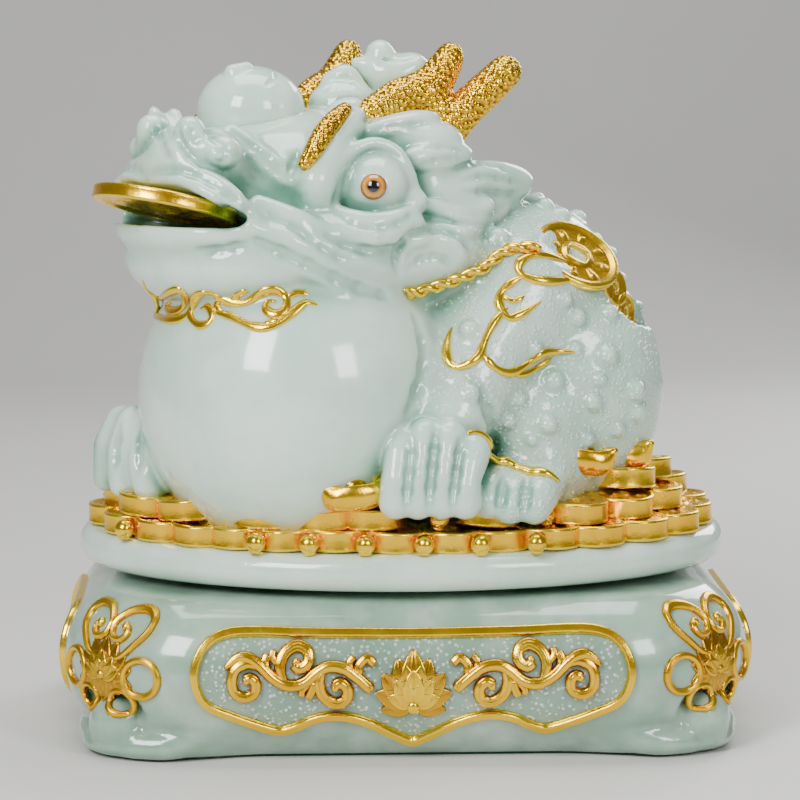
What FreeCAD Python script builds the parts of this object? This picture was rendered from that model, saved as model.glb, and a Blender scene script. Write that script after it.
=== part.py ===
import FreeCAD, Part
import Sketcher
import math
import os

# Coin toad on an oval turntable plate, carried by a ring bearing in a hollow pedestal.
# Frame: origin at the centre of the felt underside, +Z up, +X to the viewer's right,
# -Y towards the viewer, so front is -Y and left is -X. The toad looks to the front left:
# its own left side is the one near the viewer. All lengths in millimetres.
Vector = FreeCAD.Vector
UP = Vector(0, 0, 1)
ORIGIN = Vector(0, 0, 0)
doc = FreeCAD.newDocument("coin_toad")
sheet = doc.addObject("Spreadsheet::Sheet", "dims")

# ---------------------------------------------------------------- driving dimensions
# (alias, number or sheet formula)
DIMS = [
    # pedestal casting, bottom board and felt
    ("felt_thick", 1.0), ("board_top", 5.0), ("pedestal_top", 69.0), ("well_floor", 61.0),
    ("outer_ring_outside", 65.0), ("well_radius", "=outer_ring_outside+0.2"),
    ("deck_hole_radius", 54.5), ("relief_thick", 2.2), ("relief_gap", 0.05),
    ("cavity_top", 55.0), ("pedestal_half_length", 150.5), ("pedestal_half_width", 108.5),
    ("plan_corner", 65.0), ("belly_height", 37.0),
    ("wall_arc_up", 34.0), ("wall_arc_down", 44.0), ("wall_thick", 7.0),
    ("cavity_half_length", 124.0), ("cavity_half_width", 82.0), ("cavity_corner", 42.0),
    ("board_gap", 0.3),
    ("foot_radius", 12.5), ("foot_posx", 126.0), ("foot_posy", 84.0), ("foot_posz", 13.5),
    ("boss_radius", 9.0), ("boss_height", 20.0), ("board_screw_radius", 1.9),
    ("board_head_radius", 3.8), ("board_head_height", 1.4),
    ("board_recess_radius", "=board_head_radius+0.2"),
    ("board_recess_depth", "=board_head_height+0.2"),
    # ring bearing
    ("ball_radius", 2.5), ("ball_circle", 55.0), ("ball_height", 66.5),
    ("race_radius", "=ball_radius+0.05"), ("pocket_radius", "=ball_radius+0.05"),
    ("outer_ring_inside", 56.2), ("outer_ring_height", 9.5),
    ("inner_ring_outside", 53.8), ("inner_ring_inside", 40.0),
    ("inner_ring_floor", 62.5), ("inner_ring_height", 9.5),
    ("cage_outside", 55.9), ("cage_inside", 54.1), ("cage_floor", 63.4), ("cage_height", 6.2),
    ("bearing_screw_radius", 1.45), ("bearing_screw_hole", "=bearing_screw_radius+0.05"),
    ("bearing_head_radius", 2.8), ("bearing_recess_radius", "=bearing_head_radius+0.1"),
    ("outer_screw_circle", 61.0), ("inner_screw_circle", 46.0),
    # turntable plate
    ("plate_floor", 72.0), ("plate_thick", 16.0), ("plate_half_length", 145.0),
    ("plate_half_width", 100.0), ("plate_round", 7.2),
    # bolts from the plate into the toad
    ("toad_bolt_radius", 2.4), ("toad_bolt_hole", "=toad_bolt_radius+0.1"),
    ("toad_bolt_length", 26.0), ("toad_bolt_inset", 0.6),
    ("toad_bolt_head", 4.5), ("toad_bolt_head_height", 5.2),
    # coin layers and beads
    ("coin_radius", 15.0), ("coin_thick", 9.4), ("stack_gap", 0.05),
    ("coin_bed_floor", "=plate_floor+plate_thick+stack_gap"),
    ("coin_upper_floor", "=coin_bed_floor+coin_thick+stack_gap"),
    ("coin_third_floor", "=coin_upper_floor+coin_thick+stack_gap"),
    ("bead_radius", 4.3),
    # coin held in the mouth
    ("mouth_coin_radius", 31.5), ("mouth_coin_thick", 6.0),
    ("mouth_coin_posx", -104.0), ("mouth_coin_posy", -61.0), ("mouth_coin_posz", 234.5),
    # eyes, ball on the brow, big coin on the back
    ("eye_radius", 6.2), ("eye_socket_radius", "=eye_radius+0.05"),
    ("brow_ball_radius", 20.0),
    ("brow_ball_posx", -69.0), ("brow_ball_posy", -20.0), ("brow_ball_posz", 273.0),
    ("back_coin_radius", 20.0), ("back_coin_thick", 4.0),
    # cords lying on the toad
    ("rope_radius", 2.1), ("flame_radius", 1.7), ("band_radius", 2.0),
    ("strip_radius", 3.0), ("cord_radius", 1.6),
]
# Rounded masses of the toad: name, centre x, y, z, radius. Near and far are from the viewer.
MASSES = [
    ("belly", -47, -32, 150, 71), ("gut_front", 8, -4, 130, 54), ("gut_rear", 38, 8, 135, 54),
    ("back_rear", 45, 8, 182, 54), ("back_front", 20, 0, 187, 48), ("rump", 66, 16, 138, 50),
    ("jaw_core", -66, -34, 212, 30), ("skull_core", -52, -22, 244, 32),
    ("neck", -8, -8, 215, 50), ("nose", -97, -59, 262, 17),
    ("near_brow", -14.6, -56, 241, 16), ("far_brow", -80.2, 21.1, 241, 16),
    ("near_shoulder_upper", 40, -30, 190, 32), ("near_shoulder_lower", 52, -28, 172, 32),
    ("near_arm", 22, -52, 150, 27), ("near_wrist", 14, -64, 128, 24),
    ("near_toe_one", -6, -78, 118, 15), ("near_toe_two", 8, -80, 119, 16),
    ("near_toe_three", 22, -76, 118, 15),
    ("near_thigh_upper", 72, -28, 148, 36), ("near_thigh_lower", 74, -26, 124, 34),
    ("near_foot_one", 46, -66, 113, 15), ("near_foot_two", 60, -64, 114, 16),
    ("near_foot_three", 72, -56, 114, 15),
    ("far_shoulder", -6, 42, 185, 34), ("far_arm", -88, 14, 148, 26),
    ("far_wrist", -96, 12, 130, 25), ("far_toe_one", -118, -14, 120, 16),
    ("far_toe_two", -116, 2, 120, 17),
    ("far_thigh_upper", 62, 46, 142, 38), ("far_thigh_lower", 64, 44, 120, 36),
    ("far_foot_one", 30, 72, 113, 15), ("far_foot_two", 44, 74, 114, 16),
]
# Wide flat rounds of the head: name, centre x, y, z, ring radius, tube radius
ROUNDS = [("jaw", -66, -34, 212, 30, 26), ("skull", -52, -22, 243, 31, 30)]
# Weight-saving cavities inside the toad: name, centre x, y, z, radius
HOLLOWS = [("belly_hollow", -45, -30, 150, 50), ("gut_hollow", 8, -4, 138, 34),
           ("rump_hollow", 52, 12, 146, 36)]

for table, suffixes in ((MASSES, ("posx", "posy", "posz", "radius")),
                        (HOLLOWS, ("posx", "posy", "posz", "radius")),
                        (ROUNDS, ("posx", "posy", "posz", "ring", "tube"))):
    for name, *values in table:
        DIMS += [("%s_%s" % (name, suffix), value) for suffix, value in zip(suffixes, values)]
for row, (alias, value) in enumerate(DIMS, 1):
    sheet.set("A%d" % row, alias)
    sheet.set("B%d" % row, str(value))
    sheet.setAlias("B%d" % row, alias)
doc.recompute()


def dim(alias):
    return float(sheet.get(alias))


def position(name):
    """Centre given by the aliases name_posx, name_posy and name_posz."""
    return Vector(*[dim("%s_pos%s" % (name, axis)) for axis in "xyz"])


# Signs of x and y at the four corners
CORNERS = ((-1, -1), (1, -1), (1, 1), (-1, 1))
# Directions of the bearing screws round the Z axis, in degrees
SCREW_ANGLES = (45, 135, 225, 315)
# Places (x, y)
BOARD_SCREWS = [(-106, -64), (106, -64), (106, 64), (-106, 64), (0, -75), (0, 75)]
TOAD_BOLTS = [(-22, -14), (38, 10), (8, -26)]

# ---------------------------------------------------------------- document objects
pieces = []


def keep(obj, node):
    """Label an object as a finished piece and list it for export."""
    obj.Label = node
    pieces.append(obj)
    return obj


def feature(name, shape):
    obj = doc.addObject("Part::Feature", name)
    obj.Shape = shape
    obj.Placement = shape.Placement
    return obj


def piece(node, shape):
    return keep(feature(node, shape), node)


def bound(kind, name, sizes, x, y, z, rotation=None):
    """Primitive whose sizes and place are numbers or expressions on the sheet."""
    obj = doc.addObject(kind, name)
    for prop, size in sizes.items():
        obj.setExpression(prop, str(size))
    if rotation is not None:
        obj.Placement = FreeCAD.Placement(ORIGIN, rotation)
    for axis, coordinate in zip("xyz", (x, y, z)):
        obj.setExpression("Placement.Base." + axis, str(coordinate))
    return obj


def cylinder(name, radius, height, x=0, y=0, z=0, rotation=None):
    sizes = {"Radius": radius, "Height": height}
    return bound("Part::Cylinder", name, sizes, x, y, z, rotation)


def ball(name, radius, x, y, z):
    return bound("Part::Sphere", name, {"Radius": radius}, x, y, z)


def torus(name, ring_radius, tube_radius, x=0, y=0, z=0):
    sizes = {"Radius1": ring_radius, "Radius2": tube_radius}
    return bound("Part::Torus", name, sizes, x, y, z)


def place_of(name):
    return ["dims.%s_pos%s" % (name, axis) for axis in "xyz"]


def mass(name):
    return ball(name, "dims.%s_radius" % name, *place_of(name))


def fuse(name, objects):
    obj = doc.addObject("Part::MultiFuse", name)
    obj.Shapes = objects
    return obj


def cut(name, base, tool):
    obj = doc.addObject("Part::Cut", name)
    obj.Base = base
    obj.Tool = tool
    return obj


def group(name, objects):
    """Separate solids held as one object."""
    obj = doc.addObject("Part::Compound", name)
    obj.Links = objects
    return obj


def polar(radius, degrees):
    """Expressions for x and y at a radius expression and an angle round Z."""
    angle = math.radians(degrees)
    return "%s*%.6f" % (radius, math.cos(angle)), "%s*%.6f" % (radius, math.sin(angle))


def screw(name, number, x, y, parts):
    """Fused cylinders on one upright axis; parts are (part name, radius, height, floor)."""
    return fuse("%s_%d" % (name, number), [
        cylinder("%s_%s_%d" % (name, part, number), radius, height, x, y, floor)
        for part, radius, height, floor in parts])


# ---------------------------------------------------------------- curves and plain shapes
def join(shapes):
    return shapes[0] if len(shapes) == 1 else shapes[0].multiFuse(shapes[1:])


def collect(solids):
    return solids[0] if len(solids) == 1 else Part.makeCompound(solids)


def spline(points, closed=False):
    curve = Part.BSplineCurve()
    curve.interpolate(Points=[Vector(*point) for point in points], PeriodicFlag=closed)
    return curve


def smooth(points):
    """Closed outline through the points, as a polygon with twice as many corners."""
    curve = spline([(x, y, 0) for x, y in points], True)
    count = 2 * len(points)
    first, last = curve.FirstParameter, curve.LastParameter
    corners = [curve.value(first + (last - first) * i / count) for i in range(count)]
    return [(corner.x, corner.y) for corner in corners]


def flip(outline):
    """Mirror image about the upright axis, turning in the same sense."""
    return [(-x, y) for x, y in outline][::-1]


def both_sides(half):
    """Half outline from the upright axis back to it, completed by its mirror image."""
    return half + [(-x, y) for x, y in half[-2:0:-1]]


def strip(points, width, ends=(0.45, 0.45)):
    """Flat band along a centre line, narrowed at both ends to the given shares of its width."""
    curve = spline([(x, y, 0) for x, y in points])
    count = 2 * len(points)
    first, last = curve.FirstParameter, curve.LastParameter
    left, right = [], []
    for i in range(count + 1):
        share = i / count
        parameter = first + (last - first) * share
        point = curve.value(parameter)
        along = curve.tangent(parameter)[0]
        taper = min(1.0, ends[0] + (1 - ends[0]) * min(1, share / 0.3),
                    ends[1] + (1 - ends[1]) * min(1, (1 - share) / 0.3))
        half = width * taper / 2
        left.append((point.x - along.y * half, point.y + along.x * half))
        right.append((point.x + along.y * half, point.y - along.x * half))
    return left + right[::-1]


def inset(points, width):
    """Counterclockwise outline moved inward by width."""
    inner = []
    for i, (x, y) in enumerate(points):
        x_before, y_before = points[i - 1]
        x_after, y_after = points[(i + 1) % len(points)]
        run, rise = x_after - x_before, y_after - y_before
        length = math.hypot(run, rise)
        inner.append((x - rise / length * width, y + run / length * width))
    return inner


def ellipse(x, y, half_width, half_height, count=18):
    angles = [2 * math.pi * i / count for i in range(count)]
    return [(x + half_width * math.cos(a), y + half_height * math.sin(a)) for a in angles]


def prism(outline, locate, direction, hole=None):
    """Outline (less a hole) put in space by locate(across, up) and extruded."""
    def face(points):
        corners = [locate(*point) for point in points]
        return Part.Face(Part.makePolygon(corners + [corners[0]]))
    profile = face(outline)
    if hole:
        profile = profile.cut(face(hole))
    return profile.extrude(direction)


def disc(radius, thick, base, axis):
    """Cylinder standing on base along axis."""
    shape = Part.makeCylinder(radius, thick)
    shape.Placement = FreeCAD.Placement(base, FreeCAD.Rotation(UP, axis))
    return shape


def tube(points, radius):
    """Round cord along a spline through the points."""
    curve = spline(points)
    path = Part.Wire([curve.toShape()])
    start_direction = curve.tangent(curve.FirstParameter)[0]
    section = Part.Wire([Part.makeCircle(radius, Vector(*points[0]), start_direction)])
    return path.makePipeShell([section], True, True)


def limb(start, end, start_radius, end_radius):
    """Tapered round branch with a ball at its far end."""
    start, end = Vector(*start), Vector(*end)
    along = end - start
    cone = Part.makeCone(start_radius, end_radius, along.Length, start, along)
    return cone.fuse(Part.makeSphere(end_radius, end))


# ---------------------------------------------------------------- pedestal forms
def wall_profile(offset, low, high):
    """Half section in the XZ plane, from x = 0 out to the wall.

    The wall is two arcs that share a vertical tangent at the belly height.
    """
    belly = dim("belly_height")

    def wall_arc(radius_alias, bottom, top):
        centre_x = dim("plan_corner") - dim(radius_alias)
        radius = dim(radius_alias) + offset

        def on_wall(z):
            reach = math.sqrt(max(radius * radius - (z - belly) ** 2, 0.0))
            return Vector(centre_x + reach, 0, z)
        ends = on_wall(bottom), on_wall(top)
        return Part.Arc(ends[0], on_wall((bottom + top) / 2), ends[1]).toShape(), ends

    lower, (foot, _) = wall_arc("wall_arc_down", low, belly)
    upper, (_, head) = wall_arc("wall_arc_up", belly, high)
    axis_foot, axis_head = Vector(0, 0, low), Vector(0, 0, high)
    return Part.Face(Part.Wire([
        Part.makeLine(axis_foot, foot), lower, upper,
        Part.makeLine(head, axis_head), Part.makeLine(axis_head, axis_foot)]))


def bulged(offset, low, high):
    """The pedestal's outer form, grown outward by offset, between two heights."""
    core_x = dim("pedestal_half_length") - dim("plan_corner")
    core_y = dim("pedestal_half_width") - dim("plan_corner")
    profile = wall_profile(offset, low, high)
    blocks = []
    for quarter, (x, y) in enumerate(((core_x, core_y), (-core_x, core_y),
                                      (-core_x, -core_y), (core_x, -core_y))):
        corner = profile.revolve(ORIGIN, UP, 90)
        corner.rotate(ORIGIN, UP, 90 * quarter)
        corner.translate(Vector(x, y, 0))
        blocks.append(corner)
    for turn, half, shift in ((0, core_y, core_x), (180, core_y, core_x),
                              (90, core_x, core_y), (-90, core_x, core_y)):
        side = profile.extrude(Vector(0, 2 * half, 0))
        side.translate(Vector(shift, -half, 0))
        side.rotate(ORIGIN, UP, turn)
        blocks.append(side)
    blocks.append(Part.makeBox(2 * core_x, 2 * core_y, high - low,
                               Vector(-core_x, -core_y, low)))
    return join(blocks).removeSplitter()


def rounded(half_length, half_width, corner, low, high):
    """Block with a rounded-rectangle plan."""
    block = Part.makeBox(2 * half_length, 2 * half_width, high - low,
                         Vector(-half_length, -half_width, low))
    upright = []
    for edge in block.Edges:
        box = edge.BoundBox
        if abs(box.ZLength - (high - low)) < 1e-6 and box.XLength < 1e-6 and box.YLength < 1e-6:
            upright.append(edge)
    return block.makeFillet(corner, upright)


# ---------------------------------------------------------------- pedestal pieces
def make_pedestal_casting():
    outer = feature("pedestal_outer", bulged(0, dim("felt_thick"), dim("pedestal_top")))
    opening = rounded(dim("cavity_half_length"), dim("cavity_half_width"),
                      dim("cavity_corner"), 0.0, 8.0)
    cavity = bulged(-dim("wall_thick"), 7.0, dim("cavity_top")).fuse(opening)
    hollow = feature("pedestal_hollow", cavity)
    feet = [ball("foot_scroll_%d" % i, "dims.foot_radius", "%d*dims.foot_posx" % side_x,
                 "%d*dims.foot_posy" % side_y, "dims.foot_posz")
            for i, (side_x, side_y) in enumerate(CORNERS, 1)]
    bosses, boss_holes = [], []
    for i, (x, y) in enumerate(BOARD_SCREWS, 1):
        bosses.append(cylinder("boss_%d" % i, "dims.boss_radius",
                               "dims.boss_height-dims.board_top", x, y, "dims.board_top"))
        boss_holes.append(cylinder("boss_hole_%d" % i, "dims.board_screw_radius+0.05",
                                   "dims.boss_height-dims.board_top-2", x, y,
                                   "dims.board_top"))
    bores = [
        cylinder("bearing_well", "dims.well_radius", "dims.pedestal_top-dims.well_floor+1",
                 z="dims.well_floor"),
        cylinder("deck_hole", "dims.deck_hole_radius", "dims.pedestal_top-dims.cavity_top+2",
                 z="dims.cavity_top-1")]
    for i, angle in enumerate(SCREW_ANGLES, 1):
        x, y = polar("dims.outer_screw_circle", angle)
        bores.append(cylinder("deck_screw_hole_%d" % i, "dims.bearing_screw_hole", 7,
                              x, y, "dims.cavity_top-0.5"))
    solid = fuse("casting_solid", [outer] + feet)
    inside = cut("hollow_less_bosses", hollow, fuse("bosses", bosses))
    shell = cut("casting_shell", solid, inside)
    bored = cut("casting_bored", shell, fuse("deck_bores", bores))
    keep(cut("pedestal_casting", bored, group("boss_bores", boss_holes)), "pedestal_casting")


def make_bottom_board():
    gap = dim("board_gap")
    blank = feature("board_blank", rounded(
        dim("cavity_half_length") - gap, dim("cavity_half_width") - gap,
        dim("cavity_corner") - gap, dim("felt_thick"), dim("board_top")))
    holes, screws = [], []
    for i, (x, y) in enumerate(BOARD_SCREWS, 1):
        holes.append(cylinder("board_hole_%d" % i, "dims.board_screw_radius+0.2",
                              "dims.board_top", x, y))
        holes.append(cylinder("board_recess_%d" % i, "dims.board_recess_radius",
                              "dims.board_recess_depth", x, y, "dims.felt_thick"))
        screws.append(screw("board_screw", i, x, y, [
            ("head", "dims.board_head_radius", "dims.board_head_height",
             "dims.felt_thick+0.1"),
            ("shank", "dims.board_screw_radius", "dims.boss_height-dims.felt_thick-5",
             "dims.felt_thick+0.1")]))
    keep(cut("bottom_board", blank, fuse("board_holes", holes)), "bottom_board")
    keep(group("bottom_board_screws", screws), "bottom_board_screws")


def make_base_felt():
    piece("base_felt", rounded(130, 88, 45, 0.0, dim("felt_thick")))


# ---------------------------------------------------------------- relief on the pedestal
# Outlines are (across, up): across runs to the right as seen from outside, up is z.
# Each side: where an outline starts, clear of the wall, and how far it runs inward.
SIDES = {
    "front": (lambda across, up: Vector(across, -135, up), Vector(0, 70, 0)),
    "back": (lambda across, up: Vector(-across, 135, up), Vector(0, -70, 0)),
    "left": (lambda across, up: Vector(-178, -across, up), Vector(80, 0, 0)),
    "right": (lambda across, up: Vector(178, across, up), Vector(-80, 0, 0)),
}
FRAME_WIDTH = 3.9
# Left halves of the panel frames, from the bottom tip round to the top middle
LONG_FRAME_HALF = [
    (0, 6.6), (-8, 10.0), (-18, 15.4), (-26, 18.4), (-34, 19.4), (-42, 18.0), (-49, 14.6),
    (-57, 12.6), (-68, 16.0), (-78, 20.0), (-87, 24.2), (-92.3, 30.5), (-94.4, 40),
    (-92.0, 49.0), (-86.5, 55.4), (-78, 58.6), (-66, 59.2), (-48, 58.6), (-24, 58.2), (0, 58.0)]
SHORT_FRAME_HALF = [
    (0, 8.5), (-7, 12.0), (-14, 17.4), (-22, 18.4), (-30, 15.0), (-38, 18.4), (-45, 24.5),
    (-48.5, 32.5), (-49.0, 41), (-46.6, 49.0), (-41, 54.8), (-32, 57.4), (-16, 57.8), (0, 57.8)]
# Leaf scroll left of the lotus: undulating stem, three volutes, leaf tips.
# Each entry is (centre line points, width).
SCROLL = [
    ([(-79.6, 42.4), (-74.4, 46.8), (-69.4, 46.6), (-64.2, 43.2), (-59.1, 38.4), (-52.7, 35.2),
      (-46.3, 36.4), (-41.2, 40.4), (-36.1, 43.0), (-29.7, 42.3), (-24.6, 39.1), (-19.8, 35.0),
      (-17.6, 32.6)], 3.6),
    ([(-64.6, 42.4), (-70.0, 44.4), (-75.1, 42.2), (-76.7, 36.7), (-75.1, 31.9), (-70.6, 30.3),
      (-67.0, 32.4), (-66.6, 36.5), (-69.0, 38.6), (-71.4, 37.2)], 3.2),
    ([(-54.0, 36.3), (-56.3, 43.0), (-54.2, 48.8), (-49.0, 51.6), (-44.6, 49.3), (-44.6, 44.8),
      (-48.2, 42.4), (-50.8, 44.6)], 3.5),
    ([(-38.0, 41.9), (-39.9, 36.1), (-38.0, 30.4), (-32.9, 27.2), (-28.5, 29.0), (-27.9, 33.4),
      (-30.9, 36.2), (-34.0, 34.4)], 3.5),
    ([(-22.9, 39.0), (-22.9, 43.6), (-19.5, 46.2), (-16.4, 43.6)], 3.0),
    ([(-62.0, 42.2), (-62.6, 45.4), (-61.4, 48.2)], 3.0),
    ([(-41.6, 36.8), (-42.9, 32.9), (-44.6, 29.6)], 3.0),
]
# Right half of the lotus in the middle of each panel, from top to bottom
LOTUS_HALF = [
    (0, 49.6), (3.6, 46.2), (4.6, 42.4), (8.2, 44.6), (9.6, 40.6), (13.2, 40.4), (12.8, 35.8),
    (15.4, 32.2), (14.2, 28.4), (15.8, 25.4), (11.6, 22.8), (6.0, 22.4), (0, 23.8)]
# Corner medallions; their outlines are measured from the medallion's centre.
MEDALLION_X, MEDALLION_Y, MEDALLION_Z = 131.5, 89.5, 41.5
MEDALLION_LOBE = [
    (1.0, 2.5), (9.0, 3.6), (15.0, 9.2), (19.0, 14.6), (18.6, 19.8), (13.6, 22.6),
    (6.0, 21.4), (1.0, 16.6), (2.4, 11.6), (7.0, 10.4), (9.8, 13.2), (7.8, 16.4)]
MEDALLION_LOTUS_HALF = [
    (0, 10.6), (2.2, 6.6), (6.4, 9.2), (6.8, 4.2), (12.2, 5.2), (11.2, -0.6),
    (15.6, -2.6), (11.0, -6.6), (12.6, -11.2), (6.6, -10.6), (4.4, -14.6), (0, -12.6)]
# Loops beside the lotus: distance across, up, outer half sizes, inner half sizes
MEDALLION_LOOPS = [(19.5, -4.5, (9.4, 9.4), (6.2, 6.2)), (9.6, -15.6, (7.4, 6.6), (4.6, 3.9))]


def relief_shell():
    """Thin layer just outside the pedestal wall, stopping short of the round feet."""
    gap = dim("relief_gap")
    shell = bulged(gap + dim("relief_thick"), 3.0, 66.0)
    shell = shell.cut(bulged(gap, 0.0, dim("pedestal_top")))
    foot = position("foot")
    for side_x, side_y in CORNERS:
        centre = Vector(side_x * foot.x, side_y * foot.y, foot.z)
        shell = shell.cut(Part.makeSphere(dim("foot_radius") + gap, centre))
    return shell


def medallion_prisms(side_x, side_y):
    inward = Vector(-side_x, -side_y, 0)
    inward.normalize()
    sideways = Vector(inward.y, -inward.x, 0)
    start = Vector(side_x * MEDALLION_X, side_y * MEDALLION_Y, MEDALLION_Z) - inward * 30
    depth = inward * 60

    def locate(across, up):
        return start + sideways * across + Vector(0, 0, up)
    lobe = strip(MEDALLION_LOBE, 3.0, (0.7, 0.6))
    prisms = [prism(outline, locate, depth)
              for outline in (both_sides(MEDALLION_LOTUS_HALF), lobe, flip(lobe))]
    for side in (-1, 1):
        for across, up, outer, inner in MEDALLION_LOOPS:
            prisms.append(prism(ellipse(side * across, up, *outer), locate, depth,
                                ellipse(side * across, up, *inner)))
    return prisms


def make_reliefs():
    shell = relief_shell()

    def relief(node, prisms):
        piece(node, join(prisms).common(shell))

    long_frame = smooth(both_sides(LONG_FRAME_HALF))[::-1]
    short_frame = smooth(both_sides(SHORT_FRAME_HALF))[::-1]
    for side, frame in (("front", long_frame), ("back", long_frame),
                        ("left", short_frame), ("right", short_frame)):
        relief(side + "_panel_frame", [prism(frame, *SIDES[side], inset(frame, FRAME_WIDTH))])

    scroll = [strip(points, width) for points, width in SCROLL]
    lotus = both_sides(LOTUS_HALF)
    for side in ("front", "back"):
        relief(side + "_scroll_left", [prism(leaf, *SIDES[side]) for leaf in scroll])
        relief(side + "_scroll_right", [prism(flip(leaf), *SIDES[side]) for leaf in scroll])
        relief(side + "_lotus", [prism(lotus, *SIDES[side])])
    for side in ("left", "right"):
        relief(side + "_side_lotus", [prism(lotus, *SIDES[side])])

    for corner, signs in zip(("front_left", "front_right", "back_right", "back_left"), CORNERS):
        relief("corner_medallion_" + corner, medallion_prisms(*signs))


# ---------------------------------------------------------------- ring bearing
BALL_COUNT = 24


def ring(name, outside, inside, height, floor):
    return cut(name, cylinder(name + "_out", outside, height, z=floor),
               cylinder(name + "_in", inside, height + "+2", z=floor + "-1"))


def race_groove(name):
    return torus(name, "dims.ball_circle", "dims.race_radius", z="dims.ball_height")


def make_outer_ring():
    """Ring in the pedestal's well, screwed down from above."""
    floor = "dims.well_floor"
    top = "dims.well_floor+dims.outer_ring_height"
    cuts, screws = [race_groove("race")], []
    for i, angle in enumerate(SCREW_ANGLES, 1):
        x, y = polar("dims.outer_screw_circle", angle)
        cuts.append(cylinder("outer_ring_hole_%d" % i, "dims.bearing_screw_hole", 12,
                             x, y, floor + "-1"))
        cuts.append(cylinder("outer_ring_recess_%d" % i, "dims.bearing_recess_radius", 4,
                             x, y, top + "-2.2"))
        screws.append(screw("outer_screw", i, x, y, [
            ("shank", "dims.bearing_screw_radius", 12.5, floor + "-4.5"),
            ("head", "dims.bearing_head_radius", 1.9, top + "-2.1")]))
    blank = ring("outer_ring_blank", "dims.outer_ring_outside", "dims.outer_ring_inside",
                 "dims.outer_ring_height", floor)
    keep(cut("bearing_outer_ring", blank, fuse("outer_ring_cuts", cuts)), "bearing_outer_ring")
    keep(group("bearing_outer_screws", screws), "bearing_outer_screws")


def make_inner_ring():
    """Ring under the turntable plate, screwed up from below."""
    floor = "dims.inner_ring_floor"
    cuts, screws = [race_groove("race_in")], []
    for i, angle in enumerate(SCREW_ANGLES, 1):
        x, y = polar("dims.inner_screw_circle", angle)
        cuts.append(cylinder("inner_ring_hole_%d" % i, "dims.bearing_screw_hole", 12,
                             x, y, floor + "-1"))
        cuts.append(cylinder("inner_ring_recess_%d" % i, "dims.bearing_recess_radius", 3.2,
                             x, y, floor + "-1"))
        screws.append(screw("inner_screw", i, x, y, [
            ("shank", "dims.bearing_screw_radius", 15, floor + "+0.3"),
            ("head", "dims.bearing_head_radius", 1.8, floor + "+0.3")]))
    blank = ring("inner_ring_blank", "dims.inner_ring_outside", "dims.inner_ring_inside",
                 "dims.inner_ring_height", floor)
    keep(cut("bearing_inner_ring", blank, fuse("inner_ring_cuts", cuts)), "bearing_inner_ring")
    keep(group("bearing_inner_screws", screws), "bearing_inner_screws")


def make_balls_and_cage():
    balls, pockets = [], []
    for i in range(BALL_COUNT):
        angle = 360.0 / BALL_COUNT * i
        x, y = polar("dims.ball_circle", angle)
        balls.append(ball("ball_%02d" % (i + 1), "dims.ball_radius", x, y, "dims.ball_height"))
        # each pocket is a cylinder lying outward through the cage
        x, y = polar("(dims.ball_circle-4)", angle)
        outward = FreeCAD.Rotation(UP, angle).multiply(FreeCAD.Rotation(Vector(0, 1, 0), 90))
        pockets.append(cylinder("pocket_%02d" % (i + 1), "dims.pocket_radius", 8,
                                x, y, "dims.ball_height", outward))
    keep(group("bearing_balls", balls), "bearing_balls")
    blank = ring("cage_blank", "dims.cage_outside", "dims.cage_inside",
                 "dims.cage_height", "dims.cage_floor")
    keep(cut("bearing_ball_cage", blank, group("cage_pockets", pockets)), "bearing_ball_cage")


# ---------------------------------------------------------------- sketched bodies
def sketch_on(body, name, height="0"):
    """Sketch parallel to the body's XY plane at a height expression."""
    plane = [item for item in body.Origin.OriginFeatures if item.Role == "XY_Plane"][0]
    sketch = body.newObject("Sketcher::SketchObject", name)
    sketch.AttachmentSupport = [(plane, "")]
    sketch.MapMode = "FlatFace"
    sketch.setExpression("AttachmentOffset.Base.z", height)
    return sketch


def add_circle(sketch, radius, x=0, y=0):
    return sketch.addGeometry(Part.Circle(Vector(x, y, 0), UP, radius))


def add_driven_circle(sketch, radius, expression, x=0, y=0):
    """Circle whose radius follows an expression; radius is its present value."""
    circle = add_circle(sketch, radius, x, y)
    constraint = sketch.addConstraint(Sketcher.Constraint("Radius", circle, radius))
    sketch.setExpression("Constraints[%d]" % constraint, expression)


def centre_first(sketch):
    sketch.addConstraint(Sketcher.Constraint("Coincident", 0, 3, -1, 1))


def pad(body, sketch, name, length):
    doc.recompute()
    slab = body.newObject("PartDesign::Pad", name)
    slab.Profile = sketch
    slab.setExpression("Length", length)
    doc.recompute()
    return slab


def pocket(body, sketch, name, depth=None, upward=True):
    """Pocket from the sketch; without a depth it goes right through."""
    doc.recompute()
    before = body.Shape.Volume
    recess = body.newObject("PartDesign::Pocket", name)
    recess.Profile = sketch
    if depth is None:
        recess.Type = "ThroughAll"
    else:
        recess.Type = "Length"
        recess.Length = depth
    recess.Reversed = upward
    body.Tip = recess
    doc.recompute()
    # guards against a pocket that points away from the body
    least = 100
    if before - body.Shape.Volume < least:
        recess.Reversed = not upward
        doc.recompute()
    if before - body.Shape.Volume < least:
        raise RuntimeError("%s cut nothing" % name)


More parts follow.
